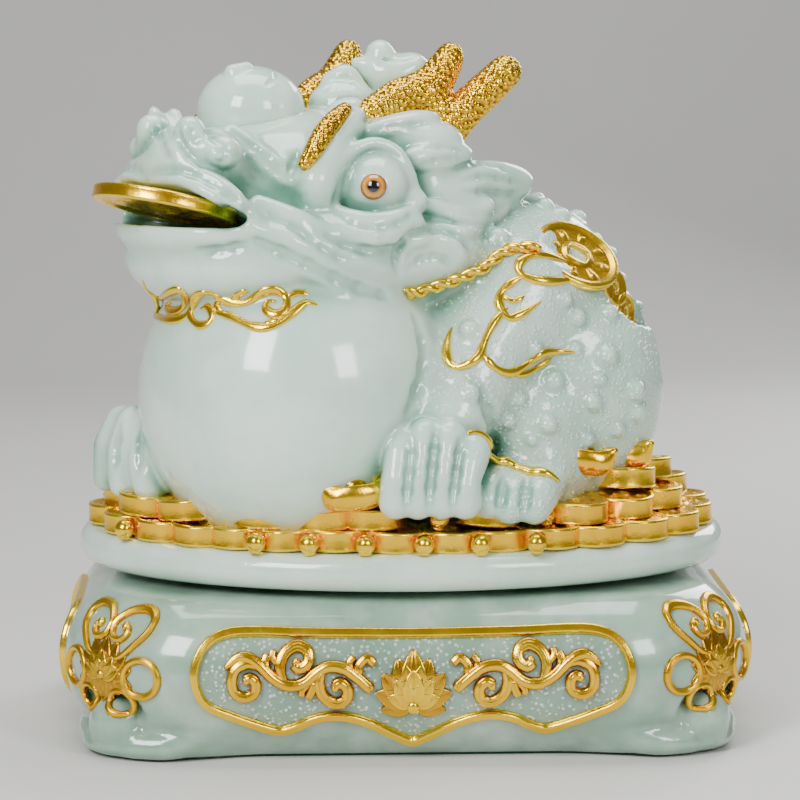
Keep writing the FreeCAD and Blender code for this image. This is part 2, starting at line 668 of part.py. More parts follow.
def make_turntable_plate():
    """Oval plate with a rounded rim, bored from below."""
    floor = "dims.plate_floor"
    body = doc.addObject("PartDesign::Body", "turntable_plate")
    outline = sketch_on(body, "plate_outline", floor)
    outline.addGeometry(Part.Ellipse(Vector(dim("plate_half_length"), 0, 0),
                                     Vector(0, dim("plate_half_width"), 0), ORIGIN))
    centre_first(outline)
    slab = pad(body, outline, "plate_slab", "dims.plate_thick")
    rims = []
    for i, edge in enumerate(slab.Shape.Edges, 1):
        if edge.BoundBox.XLength > 200 and edge.BoundBox.ZLength < 0.1:
            rims.append("Edge%d" % i)
    fillet = body.newObject("PartDesign::Fillet", "plate_bullnose")
    fillet.Base = (slab, rims)
    fillet.setExpression("Radius", "dims.plate_round")
    body.Tip = fillet
    doc.recompute()

    holes = sketch_on(body, "plate_bolt_holes", floor)
    for x, y in TOAD_BOLTS:
        add_driven_circle(holes, dim("toad_bolt_radius") + 0.2, "dims.toad_bolt_radius+0.2",
                          x, y)
    pocket(body, holes, "plate_bolt_pocket", dim("plate_thick") + 4)

    # room for the bolt heads, and blind holes for the inner ring's screws
    recesses = sketch_on(body, "plate_recesses", floor)
    for x, y in TOAD_BOLTS:
        add_circle(recesses, dim("toad_bolt_head") + 0.5, x, y)
    for degrees in SCREW_ANGLES:
        angle = math.radians(degrees)
        add_circle(recesses, dim("bearing_screw_hole"),
                   dim("inner_screw_circle") * math.cos(angle),
                   dim("inner_screw_circle") * math.sin(angle))
    pocket(body, recesses, "plate_recess_pocket", 6.0)
    keep(body, "turntable_plate")


def make_toad_bolts():
    floor = "dims.plate_floor+dims.toad_bolt_inset"
    bolts = [screw("toad_bolt", i, x, y, [
        ("shank", "dims.toad_bolt_radius", "dims.toad_bolt_length", floor),
        ("head", "dims.toad_bolt_head", "dims.toad_bolt_head_height", floor)])
        for i, (x, y) in enumerate(TOAD_BOLTS, 1)]
    keep(group("toad_bolts", bolts), "toad_bolts")


# ---------------------------------------------------------------- coin held in the mouth
def unit(x, y, z):
    vector = Vector(x, y, z)
    vector.normalize()
    return vector


MOUTH_AXIS = unit(0.2, 0.195, 1.0)
TOAD_FORWARD = Vector(-0.766, -0.643, 0)
MOUTH_CENTRE = position("mouth_coin")


def mouth_slot_shape():
    """Room for the coin, open towards the front of the toad's head."""
    outward = TOAD_FORWARD - MOUTH_AXIS * TOAD_FORWARD.dot(MOUTH_AXIS)
    outward.normalize()
    radius = dim("mouth_coin_radius") + 0.4
    height = dim("mouth_coin_thick") + 0.5
    half_width = MOUTH_AXIS.cross(outward) * radius
    corners = [half_width, half_width * -1,
               half_width * -1 + outward * 90, half_width + outward * 90]
    throat = Part.Face(Part.makePolygon(corners + [corners[0]])).extrude(MOUTH_AXIS * height)
    slot = disc(radius, height, ORIGIN, MOUTH_AXIS).fuse(throat)
    slot.translate(MOUTH_CENTRE - MOUTH_AXIS * (height / 2))
    return slot


def make_mouth_coin():
    """Coin with raised rims, a raised middle and a square hole."""
    radius, thick = dim("mouth_coin_radius"), dim("mouth_coin_thick")
    rim_width, middle_radius, face_depth, hole_half = 4.0, 8.0, 1.2, 4.2
    body = doc.addObject("PartDesign::Body", "mouth_coin")
    outline = sketch_on(body, "coin_disc")
    add_driven_circle(outline, radius, "dims.mouth_coin_radius")
    centre_first(outline)
    pad(body, outline, "coin_pad", "dims.mouth_coin_thick")
    for name, height, upward in (("coin_face_top", "dims.mouth_coin_thick", False),
                                 ("coin_face_bottom", "0", True)):
        face = sketch_on(body, name, height)
        add_circle(face, radius - rim_width)
        add_circle(face, middle_radius)
        pocket(body, face, name + "_pocket", face_depth, upward)
    square = sketch_on(body, "coin_square")
    corners = [Vector(x * hole_half, y * hole_half, 0) for x, y in CORNERS]
    for i in range(4):
        square.addGeometry(Part.LineSegment(corners[i], corners[(i + 1) % 4]))
    for i in range(4):
        square.addConstraint(Sketcher.Constraint("Coincident", i, 2, (i + 1) % 4, 1))
    pocket(body, square, "coin_square_hole")
    body.Placement = FreeCAD.Placement(MOUTH_CENTRE - MOUTH_AXIS * (thick / 2),
                                       FreeCAD.Rotation(UP, MOUTH_AXIS))
    keep(body, "mouth_coin")


# ---------------------------------------------------------------- toad
# Eyes: toad's own side, brow they sit in, looking direction
EYES = [("left", "near", unit(-0.05, -0.99, 0.12)), ("right", "far", unit(-0.976, 0.18, 0.12))]
EYE_REACH = 12.2  # from the brow's centre to the eye's


def eye_place(brow, direction):
    centre = position(brow + "_brow") + direction * EYE_REACH
    return ["%.4f" % coordinate for coordinate in centre]


def make_toad_body():
    """Cast toad, hollow inside; returns its shape before hollowing, for trimming others."""
    masses = [mass(row[0]) for row in MASSES]
    rounds = [torus(row[0], "dims.%s_ring" % row[0], "dims.%s_tube" % row[0],
                    *place_of(row[0])) for row in ROUNDS]
    lump = fuse("toad_masses", masses + rounds)
    # everything below the plate's top is taken off
    below = doc.addObject("Part::Box", "plate_space")
    below.Length, below.Width, below.Height = 400, 400, 200
    below.Placement.Base = Vector(-200, -200, 0)
    below.setExpression("Placement.Base.z", "dims.plate_floor+dims.plate_thick-200")
    cuts = [below, feature("mouth_slot", mouth_slot_shape()),
            ball("brow_ball_seat", "dims.brow_ball_radius+0.05", *place_of("brow_ball"))]
    cuts += [ball(brow + "_eye_socket", "dims.eye_socket_radius", *eye_place(brow, direction))
             for _, brow, direction in EYES]
    cuts += [cylinder("toad_bolt_hole_%d" % i, "dims.toad_bolt_hole", 12.5,
                      x, y, "dims.coin_bed_floor-0.5")
             for i, (x, y) in enumerate(TOAD_BOLTS, 1)]
    trimmed = cut("toad_trimmed", lump, fuse("toad_cuts", cuts))
    # round hole that opens the hollows at the bottom
    drain = cylinder("toad_drain", 9, 40, 10, 0, 80)
    inside = fuse("toad_inside", [mass(row[0]) for row in HOLLOWS] + [drain])
    keep(cut("toad_body", trimmed, inside), "toad_body")
    doc.recompute()
    return feature("toad_cutter", trimmed.Shape).Shape


def make_eyes():
    for side, brow, direction in EYES:
        node = side + "_eye"
        keep(ball(node, "dims.eye_radius", *eye_place(brow, direction)), node)


def make_brow_ball():
    obj = keep(ball("brow_ball", "dims.brow_ball_radius", *place_of("brow_ball")), "brow_ball")
    doc.recompute()
    return obj.Shape


# ---------------------------------------------------------------- ornaments on the toad
# Mirror planes between the toad's left and right: a point on the plane and its normal
HEAD_MIRROR = (Vector(-20, 5, 0), Vector(0.643, -0.766, 0))
BACK_MIRROR = (Vector(21, 7, 0), Vector(0.5, -0.866, 0))
# Centre lines (x, y, z) on the toad's left
ROPE = [(-8.1, -67.6, 199.0), (-0.9, -62.3, 196.3), (10.1, -52.9, 195.8), (20.3, -55.0, 199.8),
        (29.0, -57.2, 205.8), (35.8, -55.4, 211.4), (44.0, -52.9, 213.8), (53.7, -48.9, 213.5),
        (66.5, -32.6, 212.9)]
FLAME = [
    [(63.2, -45.2, 207.7), (56.1, -50.8, 209.8), (47.7, -55.9, 208.5), (46.2, -58.6, 204.8),
     (48.3, -59.9, 200.5), (57.9, -56.2, 198.8), (69.4, -43.0, 198.2), (75.7, -34.6, 200.5)],
    [(48.3, -60.2, 199.7), (41.1, -62.2, 195.9), (37.6, -62.7, 189.8), (40.3, -62.0, 182.7),
     (47.5, -60.9, 181.7), (53.3, -59.6, 184.6), (58.8, -57.0, 189.6)],
    [(40.3, -62.0, 182.7), (35.2, -60.6, 177.6), (33.5, -64.4, 172.0), (29.9, -72.7, 166.8),
     (21.4, -75.9, 164.1), (15.8, -73.1, 166.9), (14.4, -66.6, 172.3)],
    [(33.5, -64.4, 172.0), (35.8, -69.6, 166.4), (43.7, -64.4, 162.1), (49.2, -60.0, 162.3),
     (57.5, -60.5, 168.6), (63.3, -58.9, 171.5), (72.0, -56.9, 170.8)],
]
CHIN_BAND = [
    (-113.0, -50.0, 194.5), (-107.1, -61.0, 193.3), (-98.2, -70.7, 192.9),
    (-87.4, -77.1, 192.2), (-76.9, -82.7, 191.2), (-66.2, -87.6, 191.3),
    (-55.5, -87.9, 194.2), (-47.0, -86.6, 196.6), (-39.3, -85.4, 197.3)]
BROW_STRIP = [(-46.6, -80.3, 257.3), (-42.2, -76.4, 262.3), (-36.9, -69.6, 267.6),
              (-31.2, -58.8, 271.9), (-27.5, -47.0, 273.4)]
ANKLE_CORD = [(23.6, -85.7, 135.2), (31.4, -81.2, 132.7), (38.0, -75.6, 130.0),
              (44.4, -74.4, 127.0), (50.4, -76.8, 123.6), (57.7, -79.2, 120.7),
              (64.8, -79.7, 117.6)]
# Big coin on the back: centre of its underside and axis
BACK_COIN = (Vector(74.5, -30.5, 208.0), Vector(0.38, -0.55, 0.74))
# Small coins below it: centre of the underside and axis
GARLAND_RADIUS, GARLAND_THICK = 9.0, 3.0
GARLAND = [((86.2, -24.0, 193.8), (0.77, -0.60, 0.22)), ((90.6, -20.0, 183.6), (0.85, -0.52, 0.03)),
           ((93.2, -14.4, 173.4), (0.89, -0.42, 0.12)), ((101.2, -11.4, 159.6), (0.72, -0.56, 0.44))]
# Branches of the left horn: start, end, start radius, end radius
HORN = [
    ((-17, -22, 268), (2, -14, 276), 9.0, 8.0), ((2, -14, 276), (14, -8, 281), 8.0, 6.6),
    ((14, -8, 281), (21, -4, 294), 6.6, 5.0), ((11, -12, 260), (30, -10, 276), 7.5, 6.4),
    ((30, -10, 276), (47, -6, 290), 6.4, 5.8), ((14, -8, 279), (18, -12, 264), 7.0, 6.8)]
# Lobes of the cloud finial: radius and centre
FINIAL_LOBES = [(12, (-12, 8, 290)), (8, (-24, 4, 289)), (7.5, (1, 10, 288)), (6, (-10, 8, 299))]


def mirrored(points, mirror):
    """The same points on the other side of a mirror plane."""
    on_plane, normal = mirror
    result = []
    for point in points:
        point = Vector(*point)
        distance = (point - on_plane).dot(normal)
        point = point - normal * (2 * distance)
        result.append((point.x, point.y, point.z))
    return result


def lay_on(toad, node, shapes, others=()):
    """Piece lying on the toad: its shapes less the toad and less other pieces."""
    shape = join(shapes).cut(toad)
    for other in others:
        shape = shape.cut(other)
    solids = sorted([solid for solid in shape.Solids if solid.Volume > 2.0],
                    key=lambda solid: -solid.Volume)
    return piece(node, collect(solids)).Shape


def make_back_ornaments(toad):
    """Shoulder flames, coins on the back and neck ropes."""
    flame_tubes = [tube(line, dim("flame_radius")) for line in FLAME]
    left_flame = lay_on(toad, "left_shoulder_flame", flame_tubes)
    lay_on(toad, "right_shoulder_flame",
           [tube(mirrored(line, BACK_MIRROR), dim("flame_radius")) for line in FLAME])
    big_coin = disc(dim("back_coin_radius"), dim("back_coin_thick"), *BACK_COIN)
    back_coin = lay_on(toad, "back_coin_large", [big_coin], [left_flame])
    garland = [disc(GARLAND_RADIUS, GARLAND_THICK, Vector(*base), Vector(*axis))
               for base, axis in GARLAND]
    lay_on(toad, "back_coin_garland", garland, [back_coin, left_flame])
    lay_on(toad, "left_neck_rope", [tube(ROPE, dim("rope_radius"))], [back_coin] + flame_tubes)
    lay_on(toad, "right_neck_rope",
           [tube(mirrored(ROPE, BACK_MIRROR), dim("rope_radius"))], [back_coin])


def make_bands(toad, brow_ball):
    lay_on(toad, "chin_scroll_band", [tube(CHIN_BAND, dim("band_radius"))])
    for side, line in (("left", BROW_STRIP), ("right", mirrored(BROW_STRIP, HEAD_MIRROR))):
        lay_on(toad, side + "_brow_strip", [tube(line, dim("strip_radius"))], [brow_ball])
    lay_on(toad, "left_ankle_cord", [tube(ANKLE_CORD, dim("cord_radius"))])


def make_horns_and_finial(toad, brow_ball):
    left = [limb(*branch) for branch in HORN]
    right = [limb(*mirrored([start, end], HEAD_MIRROR), start_radius, end_radius)
             for start, end, start_radius, end_radius in HORN]
    lay_on(toad, "left_horn", left, [brow_ball])
    lay_on(toad, "right_horn", right, [brow_ball])
    finial = [Part.makeSphere(radius, Vector(*centre)) for radius, centre in FINIAL_LOBES]
    finial.append(limb((-12, 8, 268), (-12, 8, 288), 9, 7))
    lay_on(toad, "cloud_finial", finial, [brow_ball] + left + right)


# ---------------------------------------------------------------- coin bed
# Coin centres (x, y) in each layer
LOWER = [
    (-118, -28), (-104, -46), (-88, -58), (-72, -66), (-53, -72), (-31, -76), (-7, -79),
    (17, -79), (38, -76), (59, -73), (79, -66), (99, -53), (115, -36), (124, -14), (125, 12),
    (117, 34), (98, 54), (76, 66), (50, 74), (24, 78), (-4, 79), (-32, 76), (-58, 71),
    (-84, 60), (-106, 44), (-121, 22), (-126, -4), (90, -38), (108, 4), (-100, 22), (-66, 50),
    (84, 44)]
UPPER = [
    (-112, -34), (-94, -49), (-62, -67), (-36, -72), (-16, -75), (33, -72), (72, -62),
    (94, -46), (109, -24), (115, 6), (-120, 0), (-112, 26), (-88, 50), (-56, 64), (-22, 70),
    (12, 72), (44, 68), (78, 56), (104, 34)]
THIRD = [(76, -52), (96, -32), (106, -8), (-104, 34), (92, 42)]
# Beads round the lower coins, before they are moved clear of them
PLATE_BEADS = [
    (-111, -57), (-121, -48), (-96, -68), (-63, -82), (-42, -87), (-19, -90), (5, -91),
    (28, -90), (50, -86), (70, -82), (90, -70), (110, -58), (122, -44), (127, 32), (88, 72),
    (38, 88), (-18, 90), (-72, 78), (-116, 52)]
# Beads wanted on top of the lower coins
COIN_BEADS = [(-79, -66), (-2, -84), (12, -86), (50, -78), (58, -76), (84, -66), (122, -26),
              (-124, -26), (66, 70), (-6, 78), (-100, 48)]
# Ingots: x, y, coin layers below, turn about Z in degrees
INGOTS = [(-24, -89, 2, 8), (76, -52, 3, -12), (96, -32, 3, -35), (92, 42, 3, 30),
          (-26, 72, 2, -5)]


def make_coin_layer(toad, node, spots, floor):
    discs = [Part.makeCylinder(dim("coin_radius"), dim("coin_thick"), Vector(x, y, floor))
             for x, y in spots]
    layer = join(discs).removeSplitter().cut(toad)
    # slivers left beside the toad are dropped
    piece(node, collect([solid for solid in layer.Solids if solid.Volume > 400]))


def nearest(x, y, spots):
    return min(math.hypot(x - spot_x, y - spot_y) for spot_x, spot_y in spots)


def make_beads(toad):
    radius = dim("bead_radius")
    clear = dim("coin_radius") + radius + 0.05
    step = 0.25
    rim_x, rim_y = dim("plate_half_length") - 1, dim("plate_half_width") - 1
    centres = []
    for x, y in PLATE_BEADS:
        # move away from the Z axis until clear of the lower coins
        for _ in range(60):
            if nearest(x, y, LOWER) >= clear:
                break
            length = math.hypot(x, y)
            x, y = x + x / length * step, y + y / length * step
        if (x / rim_x) ** 2 + (y / rim_y) ** 2 < 1.0:
            centres.append(Vector(x, y, dim("coin_bed_floor") + radius + 0.02))
    for x, y in COIN_BEADS:
        on_lower_coin = nearest(x, y, LOWER) < dim("coin_radius") - 1
        if nearest(x, y, UPPER) >= clear and on_lower_coin:
            centres.append(Vector(x, y, dim("coin_upper_floor") + radius + 0.02))
    beads = [Part.makeSphere(radius, centre) for centre in centres]
    beads = [bead for bead in beads if bead.common(toad).Volume < 1e-6]
    piece("gold_beads", Part.makeCompound(beads))


def ingot(base, turn):
    """Boat-shaped ingot: oval hull, domed top, raised ends."""
    stretch = FreeCAD.Matrix()
    stretch.scale(1.35, 0.8, 0.9)
    hull = Part.makeSphere(10).transformGeometry(stretch)
    hull = hull.common(Part.makeBox(40, 40, 8, Vector(-20, -20, -6.5)))
    ends = Part.makeBox(5, 10, 6, Vector(-14.0, -5, 0))
    ends = ends.fuse(Part.makeBox(5, 10, 6, Vector(9.0, -5, 0)))
    dome = Part.makeSphere(5.4, Vector(0, 0, 1.5))
    shape = hull.fuse([ends, dome])
    shape.rotate(ORIGIN, UP, turn)
    # the hull's flat underside, 6.5 below its centre, ends 0.05 above the base
    shape.translate(base + Vector(0, 0, 6.55))
    return shape


def make_ingots(toad):
    layer_height = dim("coin_thick") + dim("stack_gap")
    ingots = []
    for x, y, layers, turn in INGOTS:
        base = Vector(x, y, dim("coin_bed_floor") + layers * layer_height)
        solids = ingot(base, turn).cut(toad).Solids
        ingots.append(max(solids, key=lambda solid: solid.Volume))
    piece("gold_ingots", Part.makeCompound(ingots))


# ---------------------------------------------------------------- build
make_pedestal_casting()
make_bottom_board()
make_base_felt()
make_reliefs()
make_outer_ring()
make_inner_ring()
make_balls_and_cage()
make_turntable_plate()
make_toad_bolts()
toad_shape = make_toad_body()
make_eyes()
brow_ball_shape = make_brow_ball()
make_back_ornaments(toad_shape)
make_bands(toad_shape, brow_ball_shape)
make_horns_and_finial(toad_shape, brow_ball_shape)
make_coin_layer(toad_shape, "coin_bed_lower", LOWER, dim("coin_bed_floor"))
make_coin_layer(toad_shape, "coin_bed_upper", UPPER, dim("coin_upper_floor"))
make_coin_layer(toad_shape, "coin_bed_top", THIRD, dim("coin_third_floor"))
make_beads(toad_shape)
make_ingots(toad_shape)
make_mouth_coin()

# ---------------------------------------------------------------- state check and export
doc.recompute()
for obj in doc.Objects:
    if "Invalid" in obj.State or "Error" in obj.State:
        raise RuntimeError("%s failed: %s" % (obj.Name, obj.State))
for obj in pieces:
    if obj.Shape.isNull() or not obj.Shape.isValid() or not obj.Shape.Solids:
        raise RuntimeError("%s has no valid shape" % obj.Label)
os.makedirs("parts", exist_ok=True)
for obj in pieces:
    obj.Shape.exportStep("parts/%s.step" % obj.Label)
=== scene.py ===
"""A jade toad with gilded trim, holding a coin in its mouth on a bed of coins, on an oval
plate that turns on a glazed pedestal.

Modelled in mm and scaled to metres in make(). +Z is up, the front faces -Y, the pedestal
stands just above z = 0. The toad looks towards -X -Y, so its left side is the near side.
"""
import itertools
import math
import bpy
import numpy as np
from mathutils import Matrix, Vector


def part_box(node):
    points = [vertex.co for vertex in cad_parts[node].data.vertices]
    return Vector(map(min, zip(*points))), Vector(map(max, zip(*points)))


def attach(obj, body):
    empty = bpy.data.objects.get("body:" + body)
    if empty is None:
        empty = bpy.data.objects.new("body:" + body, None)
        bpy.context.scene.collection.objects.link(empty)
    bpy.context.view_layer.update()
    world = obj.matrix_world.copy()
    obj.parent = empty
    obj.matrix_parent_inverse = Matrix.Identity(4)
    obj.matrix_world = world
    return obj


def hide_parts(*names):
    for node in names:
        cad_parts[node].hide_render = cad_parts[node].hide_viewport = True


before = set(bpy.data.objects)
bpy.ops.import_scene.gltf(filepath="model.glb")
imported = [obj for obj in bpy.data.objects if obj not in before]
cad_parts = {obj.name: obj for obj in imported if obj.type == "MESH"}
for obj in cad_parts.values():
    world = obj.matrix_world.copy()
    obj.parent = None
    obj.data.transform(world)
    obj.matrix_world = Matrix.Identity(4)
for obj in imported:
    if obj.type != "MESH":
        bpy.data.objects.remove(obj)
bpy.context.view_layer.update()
import openvdb as vdb
from mathutils import Vector, kdtree

F32 = np.float32


def unit(v):
    v = np.array(v, float)
    return v / np.linalg.norm(v)


# ---------------------------------------------------------------- camera and sight lines
CAMERA_DISTANCE = 1500.0
CAMERA_AZIMUTH = math.radians(-2.5)
CAMERA_ELEVATION = math.radians(7.5)
TARGET = np.array([-1.0, 0.0, 142.0])
SIGHT_DISTANCE = 1499.85  # from the camera to the sight plane, square to the view
TO_CAMERA = np.array([math.sin(CAMERA_AZIMUTH) * math.cos(CAMERA_ELEVATION),
                      -math.cos(CAMERA_AZIMUTH) * math.cos(CAMERA_ELEVATION),
                      math.sin(CAMERA_ELEVATION)])
CAMERA = TARGET + TO_CAMERA * CAMERA_DISTANCE
RIGHT = unit(np.cross(-TO_CAMERA, [0, 0, 1]))
UP = np.cross(RIGHT, -TO_CAMERA)


def sight_line(right, up):
    """Direction from the camera through a spot on the sight plane, in mm from its middle."""
    return unit(-TO_CAMERA + (RIGHT * right + UP * up) / SIGHT_DISTANCE)


def seen(right, up, y):
    """Point at depth y on the sight line through (right, up)."""
    d = sight_line(right, up)
    return CAMERA + d * ((y - CAMERA[1]) / d[1])


# ---------------------------------------------------------------- distance fields
def smooth_min(a, b, blend):
    if blend <= 0:
        return np.minimum(a, b)
    t = np.clip(0.5 + 0.5 * (b - a) / blend, 0, 1)
    return b + (a - b) * t - blend * t * (1 - t)


def turn(yaw=0.0, pitch=0.0):
    """Rotation by pitch about y, then yaw about z, in degrees."""
    yaw, pitch = math.radians(yaw), math.radians(pitch)
    cz, sz, cy, sy = math.cos(yaw), math.sin(yaw), math.cos(pitch), math.sin(pitch)
    return (np.array([[cz, -sz, 0], [sz, cz, 0], [0, 0, 1]])
            @ np.array([[cy, 0, sy], [0, 1, 0], [-sy, 0, cy]]))


def axes_up(direction):
    """Rotation that lays local z along a direction."""
    up = unit(direction)
    side = unit(np.cross([0, 1, 0], up))
    return np.stack([side, np.cross(up, side), up], 1)


def spline(points, per, closed=False):
    """Catmull-Rom curve with `per` steps to each span."""
    points = [np.array(p, float) for p in points]
    count = len(points)

    def pick(i):
        return points[i % count] if closed else points[min(max(i, 0), count - 1)]

    out = []
    for i in range(count if closed else count - 1):
        before, start, end, after = (pick(i + k) for k in (-1, 0, 1, 2))
        for k in range(per):
            t = k / per
            out.append(0.5 * (2 * start + (end - before) * t
                              + (2 * before - 5 * start + 4 * end - after) * t * t
                              + (3 * start - before - 3 * end + after) * t ** 3))
    if not closed:
        out.append(points[-1])
    return np.array(out)


# The head is symmetric about a plane through HEAD, square to LEFT.
FORWARD = np.array([-0.766, -0.643, 0.0])
LEFT = np.array([0.643, -0.766, 0.0])
HEAD = np.array([-20.0, 5.0, 0.0])


def mirror(p, origin=HEAD, normal=LEFT):
    p = np.asarray(p, float)
    return p - np.multiply.outer((p - origin) @ normal, normal) * 2


class Oval:
    """Ellipsoid; the columns of axes are its own x, y and z."""
    def __init__(self, centre, radii, axes=None):
        self.centre = np.array(centre, float)
        self.radii = np.array(radii, float)
        self.axes = np.eye(3) if axes is None else axes
        reach = np.sqrt(((self.axes * self.radii) ** 2).sum(1))
        self.low, self.high = self.centre - reach, self.centre + reach

    def mirrored(self):
        flip = np.eye(3) - 2 * np.outer(LEFT, LEFT)
        return Oval(mirror(self.centre), self.radii, flip @ self.axes)

    def __call__(self, x, y, z):
        x, y, z = (v - F32(c) for v, c in zip((x, y, z), self.centre))
        a = b = 0
        for i in range(3):
            axis, radius = self.axes[:, i], F32(self.radii[i])
            q = (x * F32(axis[0]) + y * F32(axis[1]) + z * F32(axis[2])) / radius
            a = a + q * q
            b = b + (q / radius) ** 2
        a = np.sqrt(a)
        return a * (a - 1) / np.sqrt(b + F32(1e-9))


class Tube:
    """Chain of round cones through a smoothed path."""
    def __init__(self, points, radii, smooth=True):
        points, radii = [np.array(p, float) for p in points], list(radii)
        if smooth and len(points) > 2:
            per = 4
            points = list(spline(points, per))
            radii = [a * (1 - k / per) + b * (k / per)
                     for a, b in zip(radii, radii[1:]) for k in range(per)] + radii[-1:]
        self.points, self.radii = points, radii
        self.low = np.min(points, 0) - max(radii)
        self.high = np.max(points, 0) + max(radii)

    def mirrored(self):
        return Tube([mirror(p) for p in self.points], self.radii, smooth=False)

    def __call__(self, x, y, z):
        best = None
        ends = zip(self.points, self.points[1:], self.radii, self.radii[1:])
        for start, end, r0, r1 in ends:
            run = end - start
            length2 = float(run @ run) + 1e-9
            dx, dy, dz = (v - F32(s) for v, s in zip((x, y, z), start))
            rx, ry, rz = (F32(v) for v in run)
            t = np.clip((dx * rx + dy * ry + dz * rz) / F32(length2), 0, 1)
            d = (np.sqrt((dx - t * rx) ** 2 + (dy - t * ry) ** 2 + (dz - t * rz) ** 2)
                 - (F32(r0) + F32(r1 - r0) * t))
            best = d if best is None else np.minimum(best, d)
        return best


def seen_oval(centre, radii, axes=None):
    return Oval(seen(*centre), radii, axes)


def seen_tube(points, radii):
    return Tube([seen(*p) for p in points], radii)


class Volume:
    """Signed distances on a grid, negative inside."""
    def __init__(self, low, high, step):
        self.low, self.step = np.array(low, float), step
        self.size = np.ceil((np.array(high, float) - self.low) / step).astype(int) + 1
        x, y, z = ((self.low[i] + step * np.arange(self.size[i])).astype(F32)
                   for i in range(3))
        self.x, self.y, self.z = x[:, None, None], y[None, :, None], z[None, None, :]
        self.dist = np.full(self.size, 40.0, F32)

    def near(self, shape, blend):
        """The part of the grid a shape can reach, and the shape's distances there."""
        margin = blend + 3 * self.step + 1
        a = np.floor((shape.low - margin - self.low) / self.step).astype(int)
        b = np.ceil((shape.high + margin - self.low) / self.step).astype(int) + 1
        a, b = np.clip(a, 0, self.size - 1), np.clip(b, 1, self.size)
        part = tuple(slice(a[i], b[i]) for i in range(3))
        if not self.dist[part].size:
            return part, self.dist[part]
        return part, shape(self.x[part[0]], self.y[:, part[1]], self.z[:, :, part[2]])

    def add(self, shape, blend=0.0):
        part, d = self.near(shape, blend)
        self.dist[part] = smooth_min(self.dist[part], d, blend)

    def cut(self, shape, blend):
        part, d = self.near(shape, blend)
        self.dist[part] = -smooth_min(-self.dist[part], d, blend)

    def cut_below(self, height):
        self.dist = np.maximum(self.dist, height - self.z)

    def sample(self, p):
        q = np.clip((np.asarray(p, float) - self.low) / self.step, 0, self.size - 1.001)
        i = q.astype(int)
        f = q - i
        out = 0
        for corner in itertools.product((0, 1), repeat=3):
            wx, wy, wz = (f[:, k] if corner[k] else 1 - f[:, k] for k in range(3))
            ix, iy, iz = (i[:, k] + corner[k] for k in range(3))
            out = out + wx * wy * wz * self.dist[ix, iy, iz]
        return out

    def gradient(self, p, reach=None):
        e = np.eye(3) * (reach or self.step)
        g = np.stack([self.sample(p + e[k]) - self.sample(p - e[k]) for k in range(3)], 1)
        return g / (np.linalg.norm(g, axis=1, keepdims=True) + 1e-9)

    def hit(self, spots):
        """First surface points along the sight lines through (right, up) spots."""
        d = np.array([sight_line(*s) for s in spots])
        t = np.full(len(d), 1330.0)
        nearest, at = np.full(len(d), 1e9), t.copy()
        top = self.low + self.step * (self.size - 1)
        for _ in range(320):
            p = CAMERA + d * t[:, None]
            inside = np.all((p > self.low) & (p < top), axis=1)
            step = np.where(inside, self.sample(p), 3.0)
            hold = inside & (np.abs(step) < nearest - 1e-4)
            nearest, at = np.where(hold, np.abs(step), nearest), np.where(hold, t, at)
            t = t + np.clip(step * 0.8, -2.0, 6.0) * (t < 1680)
        out = CAMERA + d * at[:, None]
        miss = nearest > 0.4
        if miss.any():
            out[miss] = self.project(out[miss], 16)
        return out

    def project(self, p, rounds):
        p = np.asarray(p, float)
        for _ in range(rounds):
            p = p - self.gradient(p) * (self.sample(p) * 0.8)[:, None]
        return p

    def mesh(self):
        grid = vdb.FloatGrid(background=float(self.step * 4))
        band = np.clip(self.dist, -4 * self.step, 4 * self.step) / self.step
        grid.copyFromArray(np.ascontiguousarray(band), tolerance=0.0)
        points, quads = grid.convertToQuads(0.0)
        points = np.asarray(points, float) * self.step + self.low
        quads = np.asarray(quads, int)
        a, b, c, d = (points[quads[:, k]] for k in range(4))
        if (np.cross(b - a, c - a) * a).sum() + (np.cross(c - a, d - a) * a).sum() < 0:
            quads = quads[:, ::-1]
        return points, quads


def cavity(volume, p, reach):
    """How enclosed each point is, 0 to 1, from distances sampled out along its normal."""
    g = volume.gradient(p)
    total = 0
    for r in reach:
        total = total + np.clip(1 - volume.sample(p + g * r) / r, 0, 1)
    return np.clip(total / len(reach) * 1.5, 0, 1)


# ---------------------------------------------------------------- mesh helpers
def make(name, points, faces, attributes=None):
    """Smooth mesh object from mm points and faces, either a quad array or a list."""
    mesh = bpy.data.meshes.new(name)
    points = np.asarray(points, float) / 1000.0
    if isinstance(faces, np.ndarray):
        count, corners = faces.shape
        mesh.vertices.add(len(points))
        mesh.vertices.foreach_set("co", points.astype(F32).ravel())
        mesh.loops.add(count * corners)
        mesh.loops.foreach_set("vertex_index", faces.astype(np.int32).ravel())
        mesh.polygons.add(count)
        starts = (np.arange(count) * corners).astype(np.int32)
        mesh.polygons.foreach_set("loop_start", starts)
        mesh.update(calc_edges=True)
    else:
        mesh.from_pydata([tuple(p) for p in points], [], faces)
    mesh.validate()
    mesh.polygons.foreach_set("use_smooth", np.ones(len(mesh.polygons), bool))
    for key, values in (attributes or {}).items():
        attribute = mesh.attributes.new(key, "FLOAT", "POINT")
        attribute.data.foreach_set("value", np.asarray(values, F32))
    obj = bpy.data.objects.new(name, mesh)
    bpy.context.scene.collection.objects.link(obj)
    return obj


def piece(node, suffix, mesh, material, body="turntable", attributes=None):
    """Object that takes the place of a CAD node; mesh is (points, faces)."""
    obj = make(node + "_" + suffix, *mesh, attributes)
    obj.data.materials.append(material)
    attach(obj, body)
    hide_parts(node)


